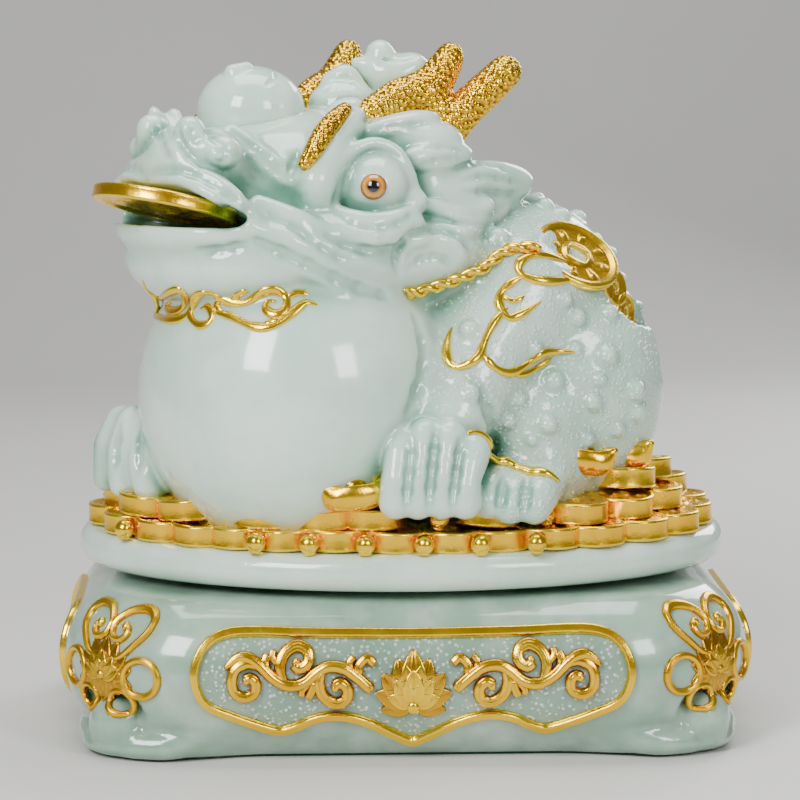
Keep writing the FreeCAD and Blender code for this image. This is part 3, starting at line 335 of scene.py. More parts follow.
def relax(points, quads, weight):
    """Moves each point part of the way to the mean of its neighbours."""
    a, b = np.concatenate([quads[:, [k, (k + 1) % 4]] for k in range(4)]).T
    total = np.stack([np.bincount(a, points[b, c], len(points))
                      + np.bincount(b, points[a, c], len(points)) for c in range(3)], 1)
    count = np.bincount(a, minlength=len(points)) + np.bincount(b, minlength=len(points))
    return points * (1 - weight) + total / np.maximum(count, 1)[:, None] * weight


def band_faces(start, seg):
    """Quads between the ring at index start and the next ring."""
    return [(start + j, start + (j + 1) % seg, start + seg + (j + 1) % seg, start + seg + j)
            for j in range(seg)]


def path_frames(p):
    """Unit tangents and two sets of normals carried along a path."""
    t = np.gradient(p, axis=0)
    t /= np.linalg.norm(t, axis=1, keepdims=True) + 1e-9
    n = unit(np.cross(t[0], [0.3, 0.2, 1.0]))
    normals = []
    for tangent in t:
        n = n - tangent * (n @ tangent)
        n /= np.linalg.norm(n) + 1e-9
        normals.append(n)
    normals = np.array(normals)
    return t, normals, np.cross(t, normals)


def sweep(path, radii, squash=1.0, normal=None):
    """Tube with rounded ends, squashed along its normal."""
    seg = 10
    t, across, side = path_frames(path)
    if normal is not None:
        across = normal - t * (normal * t).sum(1)[:, None]
        across /= np.linalg.norm(across, axis=1, keepdims=True) + 1e-9
        side = np.cross(t, across)
    angle = (np.arange(seg) * 2 * math.pi / seg)[:, None]

    def around(i):
        return squash * np.cos(angle) * across[i] + np.sin(angle) * side[i]

    rings = [path[i] + radii[i] * around(i) for i in range(len(path))]
    bulge = min(1, squash + 0.2)
    caps, tips = [], []
    for end, sign in ((0, -1), (len(path) - 1, 1)):
        out = sign * t[end] * radii[end]
        caps.append([path[end] + out * math.sin(a) * bulge
                     + radii[end] * math.cos(a) * around(end)
                     for a in (math.pi / 8, math.pi / 4, 3 * math.pi / 8)])
        tips.append((path[end] + out * bulge)[None])
    rings = caps[0][::-1] + rings + caps[1]
    first, last = len(rings) * seg, (len(rings) - 1) * seg
    faces = [f for i in range(len(rings) - 1) for f in band_faces(i * seg, seg)]
    for j in range(seg):
        k = (j + 1) % seg
        faces += [(first, k, j), (first + 1, last + j, last + k)]
    return np.concatenate(rings + tips), faces


def join(parts):
    points, faces, offset = [], [], 0
    for p, f in parts:
        points.append(p)
        faces += [tuple(i + offset for i in face) for face in f]
        offset += len(p)
    return np.concatenate(points), faces


def lathe(profile, seg, wobble=0.0):
    """Solid from a (radius, height) profile that runs from axis bottom to axis top."""
    points = [(0, 0, profile[0][1])]
    for r, z in profile[1:-1]:
        for j in range(seg):
            a = 2 * math.pi * j / seg
            k = 1.0 + wobble * math.sin(a * 3 + 1) + wobble * 0.6 * math.sin(a * 5 + 2)
            points.append((r * k * math.cos(a), r * k * math.sin(a), z))
    points.append((0, 0, profile[-1][1]))
    rings = len(profile) - 2
    last = 1 + (rings - 1) * seg
    faces = []
    for j in range(seg):
        k = (j + 1) % seg
        faces.append((0, 1 + k, 1 + j))
        for a in range(1, last, seg):
            faces.append((a + j, a + k, a + seg + k, a + seg + j))
        faces.append((last + j, last + k, len(points) - 1))
    return np.array(points, float), faces


def place(points, at, axes):
    return points @ axes.T + np.array(at, float)


def outward(points, faces):
    """The faces, all flipped if they look towards the origin."""
    a, b, c = (points[[f[k] for f in faces]] for k in range(3))
    if (np.cross(b - a, c - a) * a).sum() < 0:
        faces = [f[::-1] for f in faces]
    return faces


# ---------------------------------------------------------------- materials
class Shader:
    """Principled material with short ways to add nodes."""
    def __init__(self, name):
        self.material = bpy.data.materials.new(name)
        self.material.use_nodes = True
        self.tree = self.material.node_tree
        self.tree.nodes.clear()
        output = self.node("ShaderNodeOutputMaterial")
        self.bsdf = self.node("ShaderNodeBsdfPrincipled")
        self.tree.links.new(self.bsdf.outputs[0], output.inputs[0])
        self.coords = self.node("ShaderNodeTexCoord").outputs["Object"]

    def node(self, kind, **settings):
        node = self.tree.nodes.new(kind)
        for key, value in settings.items():
            setattr(node, key, value)
        return node

    def feed(self, socket, value):
        """Links an output to a socket, or sets a plain value."""
        if hasattr(value, "links"):
            self.tree.links.new(value, socket)
        else:
            socket.default_value = value

    def set(self, **inputs):
        """Principled inputs, with underscores for spaces."""
        for key, value in inputs.items():
            self.feed(self.bsdf.inputs[key.replace("_", " ")], value)

    def noise(self, scale, detail=4.0, rough=0.55):
        node = self.node("ShaderNodeTexNoise")
        for key, value in (("Vector", self.coords), ("Scale", scale), ("Detail", detail),
                           ("Roughness", rough)):
            self.feed(node.inputs[key], value)
        return node.outputs["Fac"]

    def voronoi(self, scale, feature="F1"):
        node = self.node("ShaderNodeTexVoronoi", feature=feature)
        for key, value in (("Vector", self.coords), ("Scale", scale), ("Randomness", 1.0)):
            self.feed(node.inputs[key], value)
        return node.outputs["Distance"]

    def attribute(self, name):
        return self.node("ShaderNodeAttribute", attribute_name=name).outputs["Fac"]

    def ramp(self, factor, stops):
        """Colour ramp from (position, colour) stops."""
        node = self.node("ShaderNodeValToRGB")
        self.feed(node.inputs[0], factor)
        elements = node.color_ramp.elements
        while len(elements) < len(stops):
            elements.new(0.5)
        for element, (position, colour) in zip(elements, stops):
            element.position = position
            element.color = colour + (1,)
        return node.outputs["Color"]

    def maths(self, operation, a, b):
        node = self.node("ShaderNodeMath", operation=operation)
        self.feed(node.inputs[0], a)
        self.feed(node.inputs[1], b)
        return node.outputs[0]

    def times(self, a, b):
        return self.maths("MULTIPLY", a, b)

    def plus(self, a, b):
        return self.maths("ADD", a, b)

    def mix(self, factor, a, b, blend="MIX"):
        node = self.node("ShaderNodeMix", data_type="RGBA", blend_type=blend)
        self.feed(node.inputs["Factor"], factor)
        for socket, colour in ((node.inputs[6], a), (node.inputs[7], b)):
            self.feed(socket, colour + (1,) if isinstance(colour, tuple) else colour)
        return node.outputs[2]

    def bump(self, height, strength, distance, under=None):
        node = self.node("ShaderNodeBump")
        for key, value in (("Height", height), ("Strength", strength),
                           ("Distance", distance)):
            self.feed(node.inputs[key], value)
        if under is not None:
            self.feed(node.inputs["Normal"], under)
        return node.outputs[0]


BLACK, WHITE = (0.0, 0.0, 0.0), (1.0, 1.0, 1.0)


def jade(name, light, deep, shade_and_pebble_tone):
    """Clouded stone with painted shade in hollows (cav) and in the mouth, white-dotted on
    pebbled skin (peb).
    """
    s = Shader(name)
    cloud = s.noise(scale=18, detail=5, rough=0.6)
    vein = s.noise(scale=55, detail=3, rough=0.5)
    base = s.mix(s.ramp(cloud, [(0.32, BLACK), (0.68, WHITE)]), deep, light)
    veins = s.times(s.ramp(vein, [(0.45, BLACK), (0.8, WHITE)]), 0.35)
    base = s.mix(veins, base, (0.86, 0.93, 0.89))
    # painted shade: hollows darken to the shade colour by their cav value
    base = s.mix(s.times(s.attribute("cav"), 1.0), base, shade_and_pebble_tone)
    # painted shade: the inside of the mouth is painted a near black green
    base = s.mix(s.attribute("mouth"), base, (0.012, 0.075, 0.045))
    pebbled = s.attribute("peb")
    dots = s.ramp(s.voronoi(scale=420), [(0.10, WHITE), (0.42, BLACK)])
    # pebbled skin is also toned a little towards the same dark colour
    base = s.mix(s.times(pebbled, 0.22), base, shade_and_pebble_tone)
    base = s.mix(s.times(s.times(dots, pebbled), 0.85), base, (0.95, 0.99, 0.96))
    s.set(Base_Color=base)
    height = s.times(dots, pebbled)
    grain = s.bump(s.noise(scale=120, detail=3, rough=0.5), strength=0.10, distance=0.0004)
    s.set(Normal=s.bump(height, strength=0.85, distance=0.0008, under=grain))
    s.set(Roughness=s.plus(s.times(s.noise(scale=40, detail=3), 0.10), 0.10),
          Subsurface_Weight=0.35, Subsurface_Scale=0.010, IOR=1.5, Coat_Weight=0.7,
          Coat_Roughness=0.05, Subsurface_Radius=(0.8, 1.0, 0.85))
    return s.material


def gold(name, rough=0.2, grain=0.35, scale=260):
    """Gilding with painted shade in creases and hollows and a painted highlight on ridges; grain
    and scale set its fine relief.
    """
    s = Shader(name)
    pointiness = s.node("ShaderNodeNewGeometry").outputs["Pointiness"]
    # painted shade in creases and a painted highlight on ridges, from pointiness
    crease_shade_and_ridge_highlight = s.ramp(pointiness, [(0.43, (0.30, 0.09, 0.002)), (0.492, (0.96, 0.52, 0.012)),
                                (0.53, (1.0, 0.68, 0.035)), (0.6, (1.0, 0.80, 0.12))])
    patches = s.ramp(s.noise(scale=34, detail=4, rough=0.6),
                     [(0.34, (0.95, 0.48, 0.008)), (0.60, (1.0, 0.68, 0.03))])
    base = s.mix(0.5, crease_shade_and_ridge_highlight, patches)
    # painted shade: hollows darken to brown by their cav value
    base = s.mix(s.times(s.attribute("cav"), 0.9), base, (0.34, 0.10, 0.012))
    s.set(Base_Color=base)
    s.set(Roughness=s.plus(s.times(s.noise(scale=70, detail=4), 0.18), rough - 0.06))
    fine = s.bump(s.noise(scale=scale, detail=4, rough=0.6), strength=grain, distance=0.0005)
    s.set(Normal=s.bump(s.voronoi(scale=150, feature="SMOOTH_F1"), strength=grain * 0.5,
                        distance=0.0006, under=fine), Metallic=1.0)
    return s.material


def plain(name, dark, light, metallic, rough, scale, bump):
    s = Shader(name)
    mottle = s.noise(scale=scale, detail=5, rough=0.6)
    s.set(Base_Color=s.ramp(mottle, [(0.3, dark), (0.7, light)]))
    s.set(Roughness=s.plus(s.times(s.noise(scale=scale * 0.5), 0.2), rough - 0.1))
    s.set(Normal=s.bump(mottle, strength=bump, distance=0.0004), Metallic=metallic)
    return s.material


def amber_glass():
    """Toad's eye; zone runs from 0 at the pupil to 1 at the white."""
    s = Shader("amber_glass")
    zone = s.attribute("zone")
    streaks = s.noise(scale=900, detail=3)
    rings = s.ramp(zone, [
        (0.0, (0.004, 0.003, 0.002)), (0.36, (0.004, 0.003, 0.002)),
        (0.40, (0.34, 0.12, 0.008)), (0.60, (0.74, 0.34, 0.03)), (0.76, (0.46, 0.17, 0.012)),
        (0.82, (0.05, 0.02, 0.01)), (0.87, (0.86, 0.86, 0.82)), (1.0, (0.9, 0.9, 0.86))])
    base = s.mix(s.times(streaks, 0.35), rings, (0.85, 0.45, 0.08), blend="SOFT_LIGHT")
    s.set(Base_Color=base, Normal=s.bump(streaks, strength=0.05, distance=0.0002),
          Roughness=0.06, Coat_Weight=1.0, Coat_Roughness=0.02, IOR=1.55)
    return s.material


TOAD_JADE = jade("toad_jade", light=(0.76, 0.90, 0.80), deep=(0.52, 0.75, 0.62),
                 shade_and_pebble_tone=(0.10, 0.32, 0.22))
PLATE_JADE = jade("plate_jade", light=(0.68, 0.83, 0.72), deep=(0.50, 0.70, 0.58),
                  shade_and_pebble_tone=(0.14, 0.32, 0.23))
PEDESTAL_JADE = jade("pedestal_jade", light=(0.36, 0.52, 0.40), deep=(0.24, 0.39, 0.29),
                     shade_and_pebble_tone=(0.05, 0.14, 0.085))
GOLD = gold("gilding")
BEADED_GOLD = gold("gilding_beaded", grain=0.2, scale=400)
COIN_GOLD = gold("gilding_coin", rough=0.24, grain=0.5, scale=180)
# name: dark and light colour, metallic, roughness, noise scale, bump strength
PLAIN = {name: plain(name, *values) for name, values in {
    "ring_aluminium": ((0.62, 0.63, 0.65), (0.78, 0.79, 0.8), 1.0, 0.32, 300, 0.1),
    "screw_steel": ((0.45, 0.45, 0.47), (0.66, 0.66, 0.68), 1.0, 0.3, 400, 0.1),
    "ball_steel": ((0.7, 0.7, 0.72), (0.85, 0.85, 0.87), 1.0, 0.12, 500, 0.03),
    "cage_nylon": ((0.78, 0.77, 0.70), (0.86, 0.85, 0.79), 0.0, 0.45, 200, 0.1),
    "board_fibre": ((0.28, 0.19, 0.11), (0.42, 0.30, 0.18), 0.0, 0.75, 350, 0.4),
    "felt": ((0.015, 0.06, 0.035), (0.03, 0.11, 0.06), 0.0, 0.95, 900, 0.8)}.items()}

# ---------------------------------------------------------------- toad: body and limbs
# Heights at which things rest: the plate, then each further layer of coins.
LEVELS = [88.05 + 9.45 * i for i in range(4)]
ACROSS = turn(220)  # lays a shape's x along the way the head faces
toad = Volume((-138, -110, 84), (126, 100, 306), 1.2)
for blend, shape in (
        (0, Oval((-47, -32, 150), (70.5, 70.5, 73))),
        (16, Oval((8, -2, 132), (64, 50, 54), turn(25))),
        (18, Oval((45, 10, 180), (58, 48, 50), turn(25))),
        (14, Oval((66, 18, 140), (46, 46, 52))),
        (14, Oval((-8, -4, 214), (50, 50, 38), ACROSS)),
        (8, Oval((45, 8, 182), (53.5, 53.5, 53.0))),
        (8, Oval((66, 16, 138), (49.5, 49.5, 49.5))),
        # far limbs
        (12, Oval((-4, 44, 183), (36, 30, 40))),
        (8, Tube([(-30, 36, 170), (-70, 26, 152), (-96, 10, 134)], [30, 27, 20])),
        (10, Oval((60, 48, 138), (42, 34, 46))),
        (8, Oval((88, 34, 152), (25, 26, 30)))):
    toad.add(shape, blend)
# far hind toes: (x, y) of root and tip
for (x0, y0), (x1, y1) in (((24, 70), (14, 80)), ((40, 74), (36, 86)), ((56, 72), (58, 84))):
    toad.add(Tube([(x0, y0 - 8, 122), (x1, y1, 113)], [10, 8]), 5)
# far front toes: root and tip as seen, each right, up and y
for (r0, u0, y0), (r1, u1, y1) in (((-124.2, -10.8, -4), (-131.4, -33.3, -14)),
                                   ((-118.8, -10.8, -14), (-123.3, -36.9, -28)),
                                   ((-111.6, -14.4, -22), (-112.5, -38.7, -38))):
    middle = ((r0 + r1) / 2 - 1.8, (u0 + u1) / 2, (y0 + y1) / 2 - 3)
    toad.add(seen_tube([(r0, u0, y0), middle, (r1, u1, y1)], [8.6, 8.6, 7.6]), 4)
# near haunch, shoulder, arm and paw
toad.add(Oval((73, -16, 150), (43, 40, 54)), 9)
toad.add(Oval((47, -28, 186), (33, 27, 34)), 12)
toad.add(seen_tube([(54, 45, -30), (36, 18, -46), (20.7, -11.25, -66)], [27, 25, 18]), 8)
toad.add(seen_tube([(20.7, -11.25, -64), (16.2, -32.4, -69)], [17, 13.5]), 6)
for r, u in ((0.9, -17.55), (10.8, -14.85), (21.6, -15.3), (31.95, -21.6)):
    toad.add(seen_tube([(r + (16.2 - r) * 0.35, u - 1.8, -72), (r, u - 1.8, -84),
                        (r - 2.25, u - 14.4, -92), (r - 2.7, -45.9, -93)],
                       [6.0, 8.4, 6.5, 7.6]), 1.6)
# near hind foot
toad.add(seen_oval((59.4, -14.4, -46), (22, 20, 27)), 9)
toad.add(seen_tube([(72, -22.5, -30), (62.1, -35.1, -52)], [23, 18]), 8)
for r, u in ((41.4, -42.3), (51.3, -45), (62.1, -45)):
    toad.add(seen_tube([(r + 6.3, u + 9.9, -62), (r, u + 1.8, -80), (r - 1.8, u - 3.6, -86)],
                       [8.4, 8.8, 7.2]), 2.2)


# ---------------------------------------------------------------- toad: head
def add_pair(shape, blend):
    """A head feature and its twin on the far side."""
    toad.add(shape, blend)
    toad.add(shape.mirrored(), blend)


def blade(start, end, wide, thick):
    """Flat pointed lock that turns its broad side to the camera."""
    start, end = seen(*start), seen(*end)
    length = np.linalg.norm(end - start)
    along = (end - start) / length
    face = unit(TO_CAMERA - along * (TO_CAMERA @ along))
    axes = np.stack([along, np.cross(face, along), face], 1)
    return Oval((start + end) / 2, (length * 0.53, wide, thick), axes)


# Points below are (right, up, y) as seen.
# jaw, skull and cheeks
toad.add(Oval((-66, -33, 211), (57, 57, 27), ACROSS), 4.5)
toad.add(Oval((-45, -17, 243), (55, 49, 31), ACROSS), 7)
add_pair(seen_oval((-2.25, 67.5, -44), (38, 22, 18)), 9)
add_pair(seen_oval((-22.5, 62.1, -52), (34, 24, 17), turn(20)), 9)
add_pair(seen_oval((18, 91.8, -22), (24, 24, 20)), 8)
add_pair(seen_tube([(-66.6, 76.95, -84), (-49.5, 67.95, -84), (-31.5, 57.15, -80),
                    (-15.3, 49.05, -70), (-5.4, 45.9, -62)], [4.5, 6, 6.5, 6, 4]), 6)
add_pair(seen_tube([(-63.9, 88.2, -80), (-45, 79.2, -80), (-27, 67.95, -74),
                    (-9.9, 59.4, -66)], [4, 6, 6, 4]), 7)
# lips
add_pair(seen_tube([(-117, 77.4, -48), (-109.8, 76.5, -68), (-98.1, 75.6, -80),
                    (-84.6, 75.15, -86), (-69.3, 74.25, -85)], [5, 6, 6, 5.5, 3.5]), 8)
add_pair(seen_tube([(-112.5, 100.8, -52), (-104.4, 101.7, -68), (-90, 98.1, -80),
                    (-76.5, 89.1, -87), (-67.5, 79.2, -86)], [7, 7.5, 7.5, 6.5, 4]), 6)
toad.add(seen_oval((-90, 106.2, -58), (24, 20, 14), ACROSS), 8)
# nose
toad.add(seen_oval((-91.8, 112.5, -62), (19, 17, 10), ACROSS), 5)
add_pair(seen_oval((-94.5, 120.15, -73), (6.9, 6.9, 7.4)), 1.6)
add_pair(seen_oval((-80.55, 110.7, -79), (7.2, 6.8, 6.6)), 1.4)
add_pair(seen_tube([(-91.8, 116.1, -74), (-86.4, 112.5, -76)], [6.4, 6.2]), 2)
add_pair(seen_tube([(-83.7, 117, -77), (-77.4, 115.65, -78), (-73.8, 111.6, -76),
                    (-75.6, 106.2, -76)], [2.0, 2.8, 3.0, 2.2]), 1.4)
toad.add(seen_tube([(-103.5, 116.1, -52), (-108.9, 124.2, -47), (-111.15, 130.95, -44)],
                   [7.0, 5.2, 1.4]), 2.2)
toad.add(seen_tube([(-99.9, 120.6, -50), (-101.7, 127.8, -46)], [4.4, 3.4]), 2)
toad.add(seen_oval((-102.6, 111.6, -58), (8, 8, 7.5)), 4)
add_pair(seen_tube([(-75.6, 120.6, -58), (-63, 109.8, -64), (-51.3, 99.9, -68)],
                   [3.6, 4.4, 3.4]), 5)
# brow flame, eye socket and lids
add_pair(seen_tube([(-39.6, 84.6, -70), (-37.8, 98.1, -68), (-31.05, 112.5, -58),
                    (-20.7, 126.9, -42)], [5, 8.6, 9, 5.5]), 5)
add_pair(seen_tube([(-33.3, 88.2, -72), (-31.5, 99.9, -70), (-25.65, 112.5, -60),
                    (-18, 122.4, -48)], [2, 3, 3, 2]), 2)
add_pair(Oval((-14.6, -55.2, 241), (15.8, 15.8, 15.8)), 4.5)
add_pair(seen_tube([(-29.7, 88.65, -66), (-28.35, 101.7, -66), (-21.6, 111.6, -62),
                    (-11.7, 115.65, -58), (-1.35, 111.6, -56), (4.95, 101.25, -56),
                    (7.65, 88.65, -56)], [2.0, 2.4, 2.7, 2.8, 2.7, 2.4, 1.8]), 3.5)
add_pair(seen_tube([(-30.6, 87.3, -68), (-21.6, 83.25, -72), (-10.8, 81.9, -73),
                    (0, 83.7, -69), (8.55, 88.2, -60)], [1.6, 2.3, 2.5, 2.3, 1.6]), 3.5)
add_pair(seen_tube([(-30.6, 78.3, -72), (-12.6, 73.8, -74), (6.3, 78.3, -64)],
                   [5, 6.5, 5]), 7)
# crest plate, locks and ear
add_pair(seen_oval((1.8, 117, -30), (26, 15, 11)), 6)
add_pair(seen_oval((10.8, 95.4, -36), (12, 12, 17)), 5)
add_pair(seen_oval((6.3, 89.1, -57), (6, 5, 5)), 4)
add_pair(seen_oval((13.5, 86.4, -38), (14, 12, 11)), 5)
add_pair(blade((-17.1, 119.7, -46), (16.65, 127.35, -31), 5.6, 6.5), 2.2)
add_pair(seen_tube([(6.3, 125.55, -36), (17.55, 128.25, -29)], [4.2, 0.6]), 1.5)
add_pair(blade((1.8, 108, -50), (31.5, 110.7, -30), 7.4, 7.0), 2.2)
add_pair(seen_tube([(20.7, 108.9, -40), (33.3, 111.6, -27)], [5.2, 0.6]), 1.5)
add_pair(blade((18, 96.3, -42), (58.5, 98.1, -5), 10.5, 7.5), 2.2)
add_pair(seen_tube([(45.9, 99, -15), (61.2, 97.2, -1)], [6.0, 0.6]), 1.5)
add_pair(blade((17.1, 87.3, -44), (52.2, 88.65, -12), 8.6, 7.0), 1.8)
add_pair(seen_tube([(43.2, 88.65, -18), (55.35, 89.1, -9)], [4.4, 0.6]), 1.5)
add_pair(blade((14.4, 80.1, -46), (41.4, 78.3, -24), 7.6, 7.0), 1.8)
add_pair(seen_tube([(14.4, 87.3, -54), (23.4, 83.7, -48), (32.4, 84.15, -40),
                    (38.7, 87.3, -36)], [3.5, 5, 5, 4]), 2.5)
# lobes and grooved shell mane behind the brow ball
toad.add(seen_oval((-26.1, 133.2, -2), (15, 12, 11)), 3)
toad.add(seen_tube([(-31.5, 143.1, 0), (-24.3, 146.7, 0), (-18.9, 140.4, 0)],
                   [4, 4.5, 4]), 2.5)
toad.add(seen_oval((-24.75, 128.7, -22), (10, 7, 7), turn(0, -20)), 2.5)
toad.add(seen_oval((-72, 113.4, -40), (24, 18, 8)), 6)
toad.add(Oval((-12, 6, 268), (14, 16, 12)), 6)
for k in range(5):
    toad.cut(seen_tube([(-36.9 + 4.05 * k, 129.6 + 1.35 * k, -18),
                        (-35.1 + 4.5 * k, 136.8 + 1.8 * k, -12),
                        (-31.5 + 4.05 * k, 142.2 + 1.35 * k, -8)], [0.7, 1.1, 0.7]), 1.2)
# seat of the brow ball
ball_centre = np.array(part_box("brow_ball")[0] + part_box("brow_ball")[1]) * 500
BROW_BALL = Oval(ball_centre + np.array([1.6, 0.0, -0.4]), (23.6, 22.4, 20.0))
toad.cut(Oval(BROW_BALL.centre, BROW_BALL.radii + 0.2), 1.0)
# mouth, and the slot its coin lies in
MOUTH_NORMAL = unit([0.2, 0.195, 1.0])
MOUTH_COIN_AT = np.array([-104.0, -61.0, 234.5])
mouth_out = unit(FORWARD - MOUTH_NORMAL * (FORWARD @ MOUTH_NORMAL))
MOUTH_AXES = np.stack([mouth_out, np.cross(MOUTH_NORMAL, mouth_out), MOUTH_NORMAL], 1)
MOUTH = Oval(HEAD + FORWARD * 119 + np.array([0, 0, 235.0]), (44, 47, 8.2), MOUTH_AXES)
toad.cut(MOUTH, 2.0)
toad.cut(Oval(MOUTH_COIN_AT, (32.4, 32.4, 5.2), MOUTH_AXES), 1.0)


# ---------------------------------------------------------------- toad: folds and creases
def line_on_toad(spots):
    """Curve on the skin through (right, up) spots as seen."""
    return toad.hit(spline(spots, 4))


def tapered(radius, count, ends):
    return [radius * min(1, ends + 3 * i / count, ends + 3 * (count - 1 - i) / count)
            for i in range(count)]


def crease(radius, blend, spots, both=True):
    line = line_on_toad(spots)
    radii = tapered(radius, len(line), 0.3)
    for path in ([line, mirror(line)] if both else [line]):
        for i in range(0, len(path) - 1, 3):
            toad.cut(Tube(path[i:i + 4], radii[i:i + 4]), blend)


def ridge(radius, blend, sink, spots, ends=0.35):
    line = line_on_toad(spots)
    line = line - toad.gradient(line) * radius * sink
    radii = tapered(radius, len(line), ends)
    toad.add(Tube(line, radii), blend)
    toad.add(Tube(mirror(line), radii), blend)


# cheeks and round the eyes
ridge(3.4, 4, 0.4, [(-66.6, 77.4), (-52.2, 73.8), (-36.9, 68.85), (-21.6, 63.45),
                    (-7.2, 59.4)])
crease(1.7, 3.0, [(-64.8, 72), (-49.5, 64.8), (-33.3, 56.7), (-18, 50.4), (-6.3, 46.8)])
crease(1.2, 2.4, [(-49.5, 78.3), (-39.6, 72), (-30.15, 65.7), (-21.6, 63.45)])
crease(1.5, 3.0, [(-74.7, 120.6), (-63.9, 112.5), (-56.7, 106.2), (-50.4, 100.8)])
crease(1.1, 2.4, [(-50.4, 100.8), (-48.15, 106.2), (-46.35, 111.15)])
crease(1.0, 2.0, [(-27.9, 82.8), (-19.8, 78.75), (-10.8, 77.4), (-0.9, 79.2), (5.4, 83.7)])
crease(1.2, 2.6, [(-33.3, 73.8), (-22.5, 68.85), (-9.9, 67.5), (3.6, 70.2), (10.8, 75.6)])
ridge(3.4, 2.6, 0.3, [(0, 62.1), (1.8, 69.3), (9, 72.45), (18, 72.45), (26.1, 69.3),
                      (29.25, 63)])
crease(1.3, 2.2, [(-0.9, 57.6), (-1.8, 65.7), (3.6, 73.8), (14.4, 76.5), (25.2, 73.8),
                  (32.4, 66.6)])
crease(1.1, 2.0, [(4.5, 59.4), (10.8, 63.9), (18.9, 63.9), (23.4, 60.3)])
# lips
ridge(2.4, 2.0, 0.2, [(-112.5, 98.55), (-100.8, 99), (-90.9, 95.4), (-80.1, 88.65),
                      (-72, 81.45)])
crease(1.3, 2.6, [(-111.6, 102.6), (-99.9, 103.5), (-88.2, 99.9), (-76.5, 92.7),
                  (-66.6, 83.7)])
crease(1.0, 3.0, [(-90, 67.5), (-80.1, 67.5), (-69.3, 70.2)])
# nose and nostrils
for radius, blend, spots in (
        (1.2, 1.8, [(-99.9, 124.2), (-99, 117.9), (-95.4, 111.6), (-89.1, 106.2),
                    (-81, 103.5)]),
        (1.2, 1.8, [(-87.3, 124.2), (-84.6, 117.9), (-78.3, 114.3), (-72.9, 109.8)]),
        (1.0, 1.4, [(-91.8, 123.3), (-94.5, 119.7), (-92.7, 116.55), (-89.55, 118.35)]),
        (1.0, 1.4, [(-83.7, 112.95), (-80.1, 112.5), (-77.85, 109.35), (-80.55, 106.65),
                    (-83.7, 108)]),
        (1.0, 1.8, [(-111.6, 123.3), (-108, 118.8), (-106.2, 112.5), (-102.6, 108)])):
    crease(radius, blend, spots, both=False)
# mane locks and ear
crease(1.2, 1.6, [(24.75, 104.4), (35.1, 107.1), (44.1, 105.3), (54, 100.8)])
crease(1.2, 1.6, [(27.9, 99), (38.7, 100.8), (48.6, 99), (56.7, 97.2)])
crease(1.2, 1.6, [(27.9, 93.6), (38.7, 93.6), (48.6, 92.7), (54, 93.6)])
ridge(3.0, 1.8, 0.1, [(20.7, 83.7), (31.5, 80.1), (42.3, 81.9), (49.5, 86.4)], ends=0.2)
ridge(3.0, 1.8, 0.1, [(18, 79.2), (27.9, 75.6), (36, 76.5), (41.4, 79.2)], ends=0.2)
crease(1.1, 1.6, [(10.8, 113.4), (20.7, 114.3), (29.7, 111.6)])
crease(1.1, 1.6, [(9, 105.3), (18, 108), (27, 108.9)])
crease(1.0, 1.8, [(-12.6, 121.5), (-0.9, 123.3), (10.8, 124.2)])
for radius, blend, spots in (
        # between the toes of the near front paw, near hind foot and far front paw
        (1.5, 2.4, [(5.85, -18), (4.95, -27), (3.6, -38.25), (2.7, -46.8)]),
        (1.5, 2.4, [(16.2, -15.3), (15.3, -25.2), (13.95, -36), (12.6, -47.7)]),
        (1.5, 2.4, [(27, -18), (26.1, -27), (24.75, -37.8), (23.4, -46.8)]),
        (1.9, 2.4, [(46.8, -35.1), (45.9, -42.3), (45, -48.6)]),
        (1.9, 2.4, [(57.15, -36), (56.7, -43.2), (55.8, -49.5)]),
        (1.6, 2.2, [(-126.45, -10.8), (-127.8, -20.7), (-128.7, -31.5)]),
        (1.6, 2.2, [(-116.55, -9), (-117.45, -20.7), (-117.9, -33.3)]),
        # where the arm folds against the thigh, and down the breast
        (1.8, 3.6, [(31.5, 9.9), (37.8, 0), (41.4, -10.8), (41.4, -20.7)]),
        (1.5, 4.0, [(7.2, 36.9), (10.8, 22.5), (9, 8.1), (3.6, -5.4)])):
    crease(radius, blend, spots, both=False)

# ---------------------------------------------------------------- toad: warts and coin seats
# right, up, radius
WARTS = [
    (43.65, 72.9, 6.4), (65.25, 87.75, 4.5), (72.9, 83.7, 4), (69.3, 8.55, 5),
    (32.4, 3.15, 4.2), (31.05, 31.95, 4.4), (79.65, 36.9, 4.6), (94.5, 39.6, 4.4),
    (93.6, 19.8, 4.8), (86.85, -0.9, 4.6), (66.6, -11.25, 4.4), (49.05, -9.45, 4),
    (106.2, 4.05, 5), (107.1, -5.4, 4.6), (54, 0, 3.4), (84.6, -18, 3.6), (31.5, 18, 3),
    (61.2, 22.5, 3.4), (74.7, 45, 3.4), (90, 9, 3.2), (98.1, -13.5, 3.6), (59.4, -18, 3),
    (78.75, 22.5, 3.4)]


def add_warts():
    """The listed warts, then scattered ones over the parts of the back turned away."""
    spots = list(toad.hit([wart[:2] for wart in WARTS]))
    radii = [wart[2] for wart in WARTS]
    rng = np.random.RandomState(7)
    scatter = []
    for _ in range(400):
        d = rng.normal(size=3)
        d[2] = abs(d[2]) * 0.7
        d /= np.linalg.norm(d)
        if not (d[1] < -0.25 and d[0] < 0.8):
            scatter.append(np.array([46.0, 22.0, 165.0]) + d * 70)
    for p in toad.project(np.array(scatter), 24):
        if not (p[2] > 108 and p[0] > 12):
            continue
        if min(np.linalg.norm(p - q) for q in spots) > 12 and len(spots) < 80:
            spots.append(p)
            radii.append(3.0 + 2.0 * rng.rand())
    for p, r in zip(spots, radii):
        normal = toad.gradient(p[None])[0]
        toad.add(Oval(p - normal * r * 0.25, (r, r, r)), 1.6)


add_warts()
BACK_COIN_NORMAL = unit([0.38, -0.55, 0.74])
BACK_COIN_AT = np.array([74.5, -30.5, 208.0])
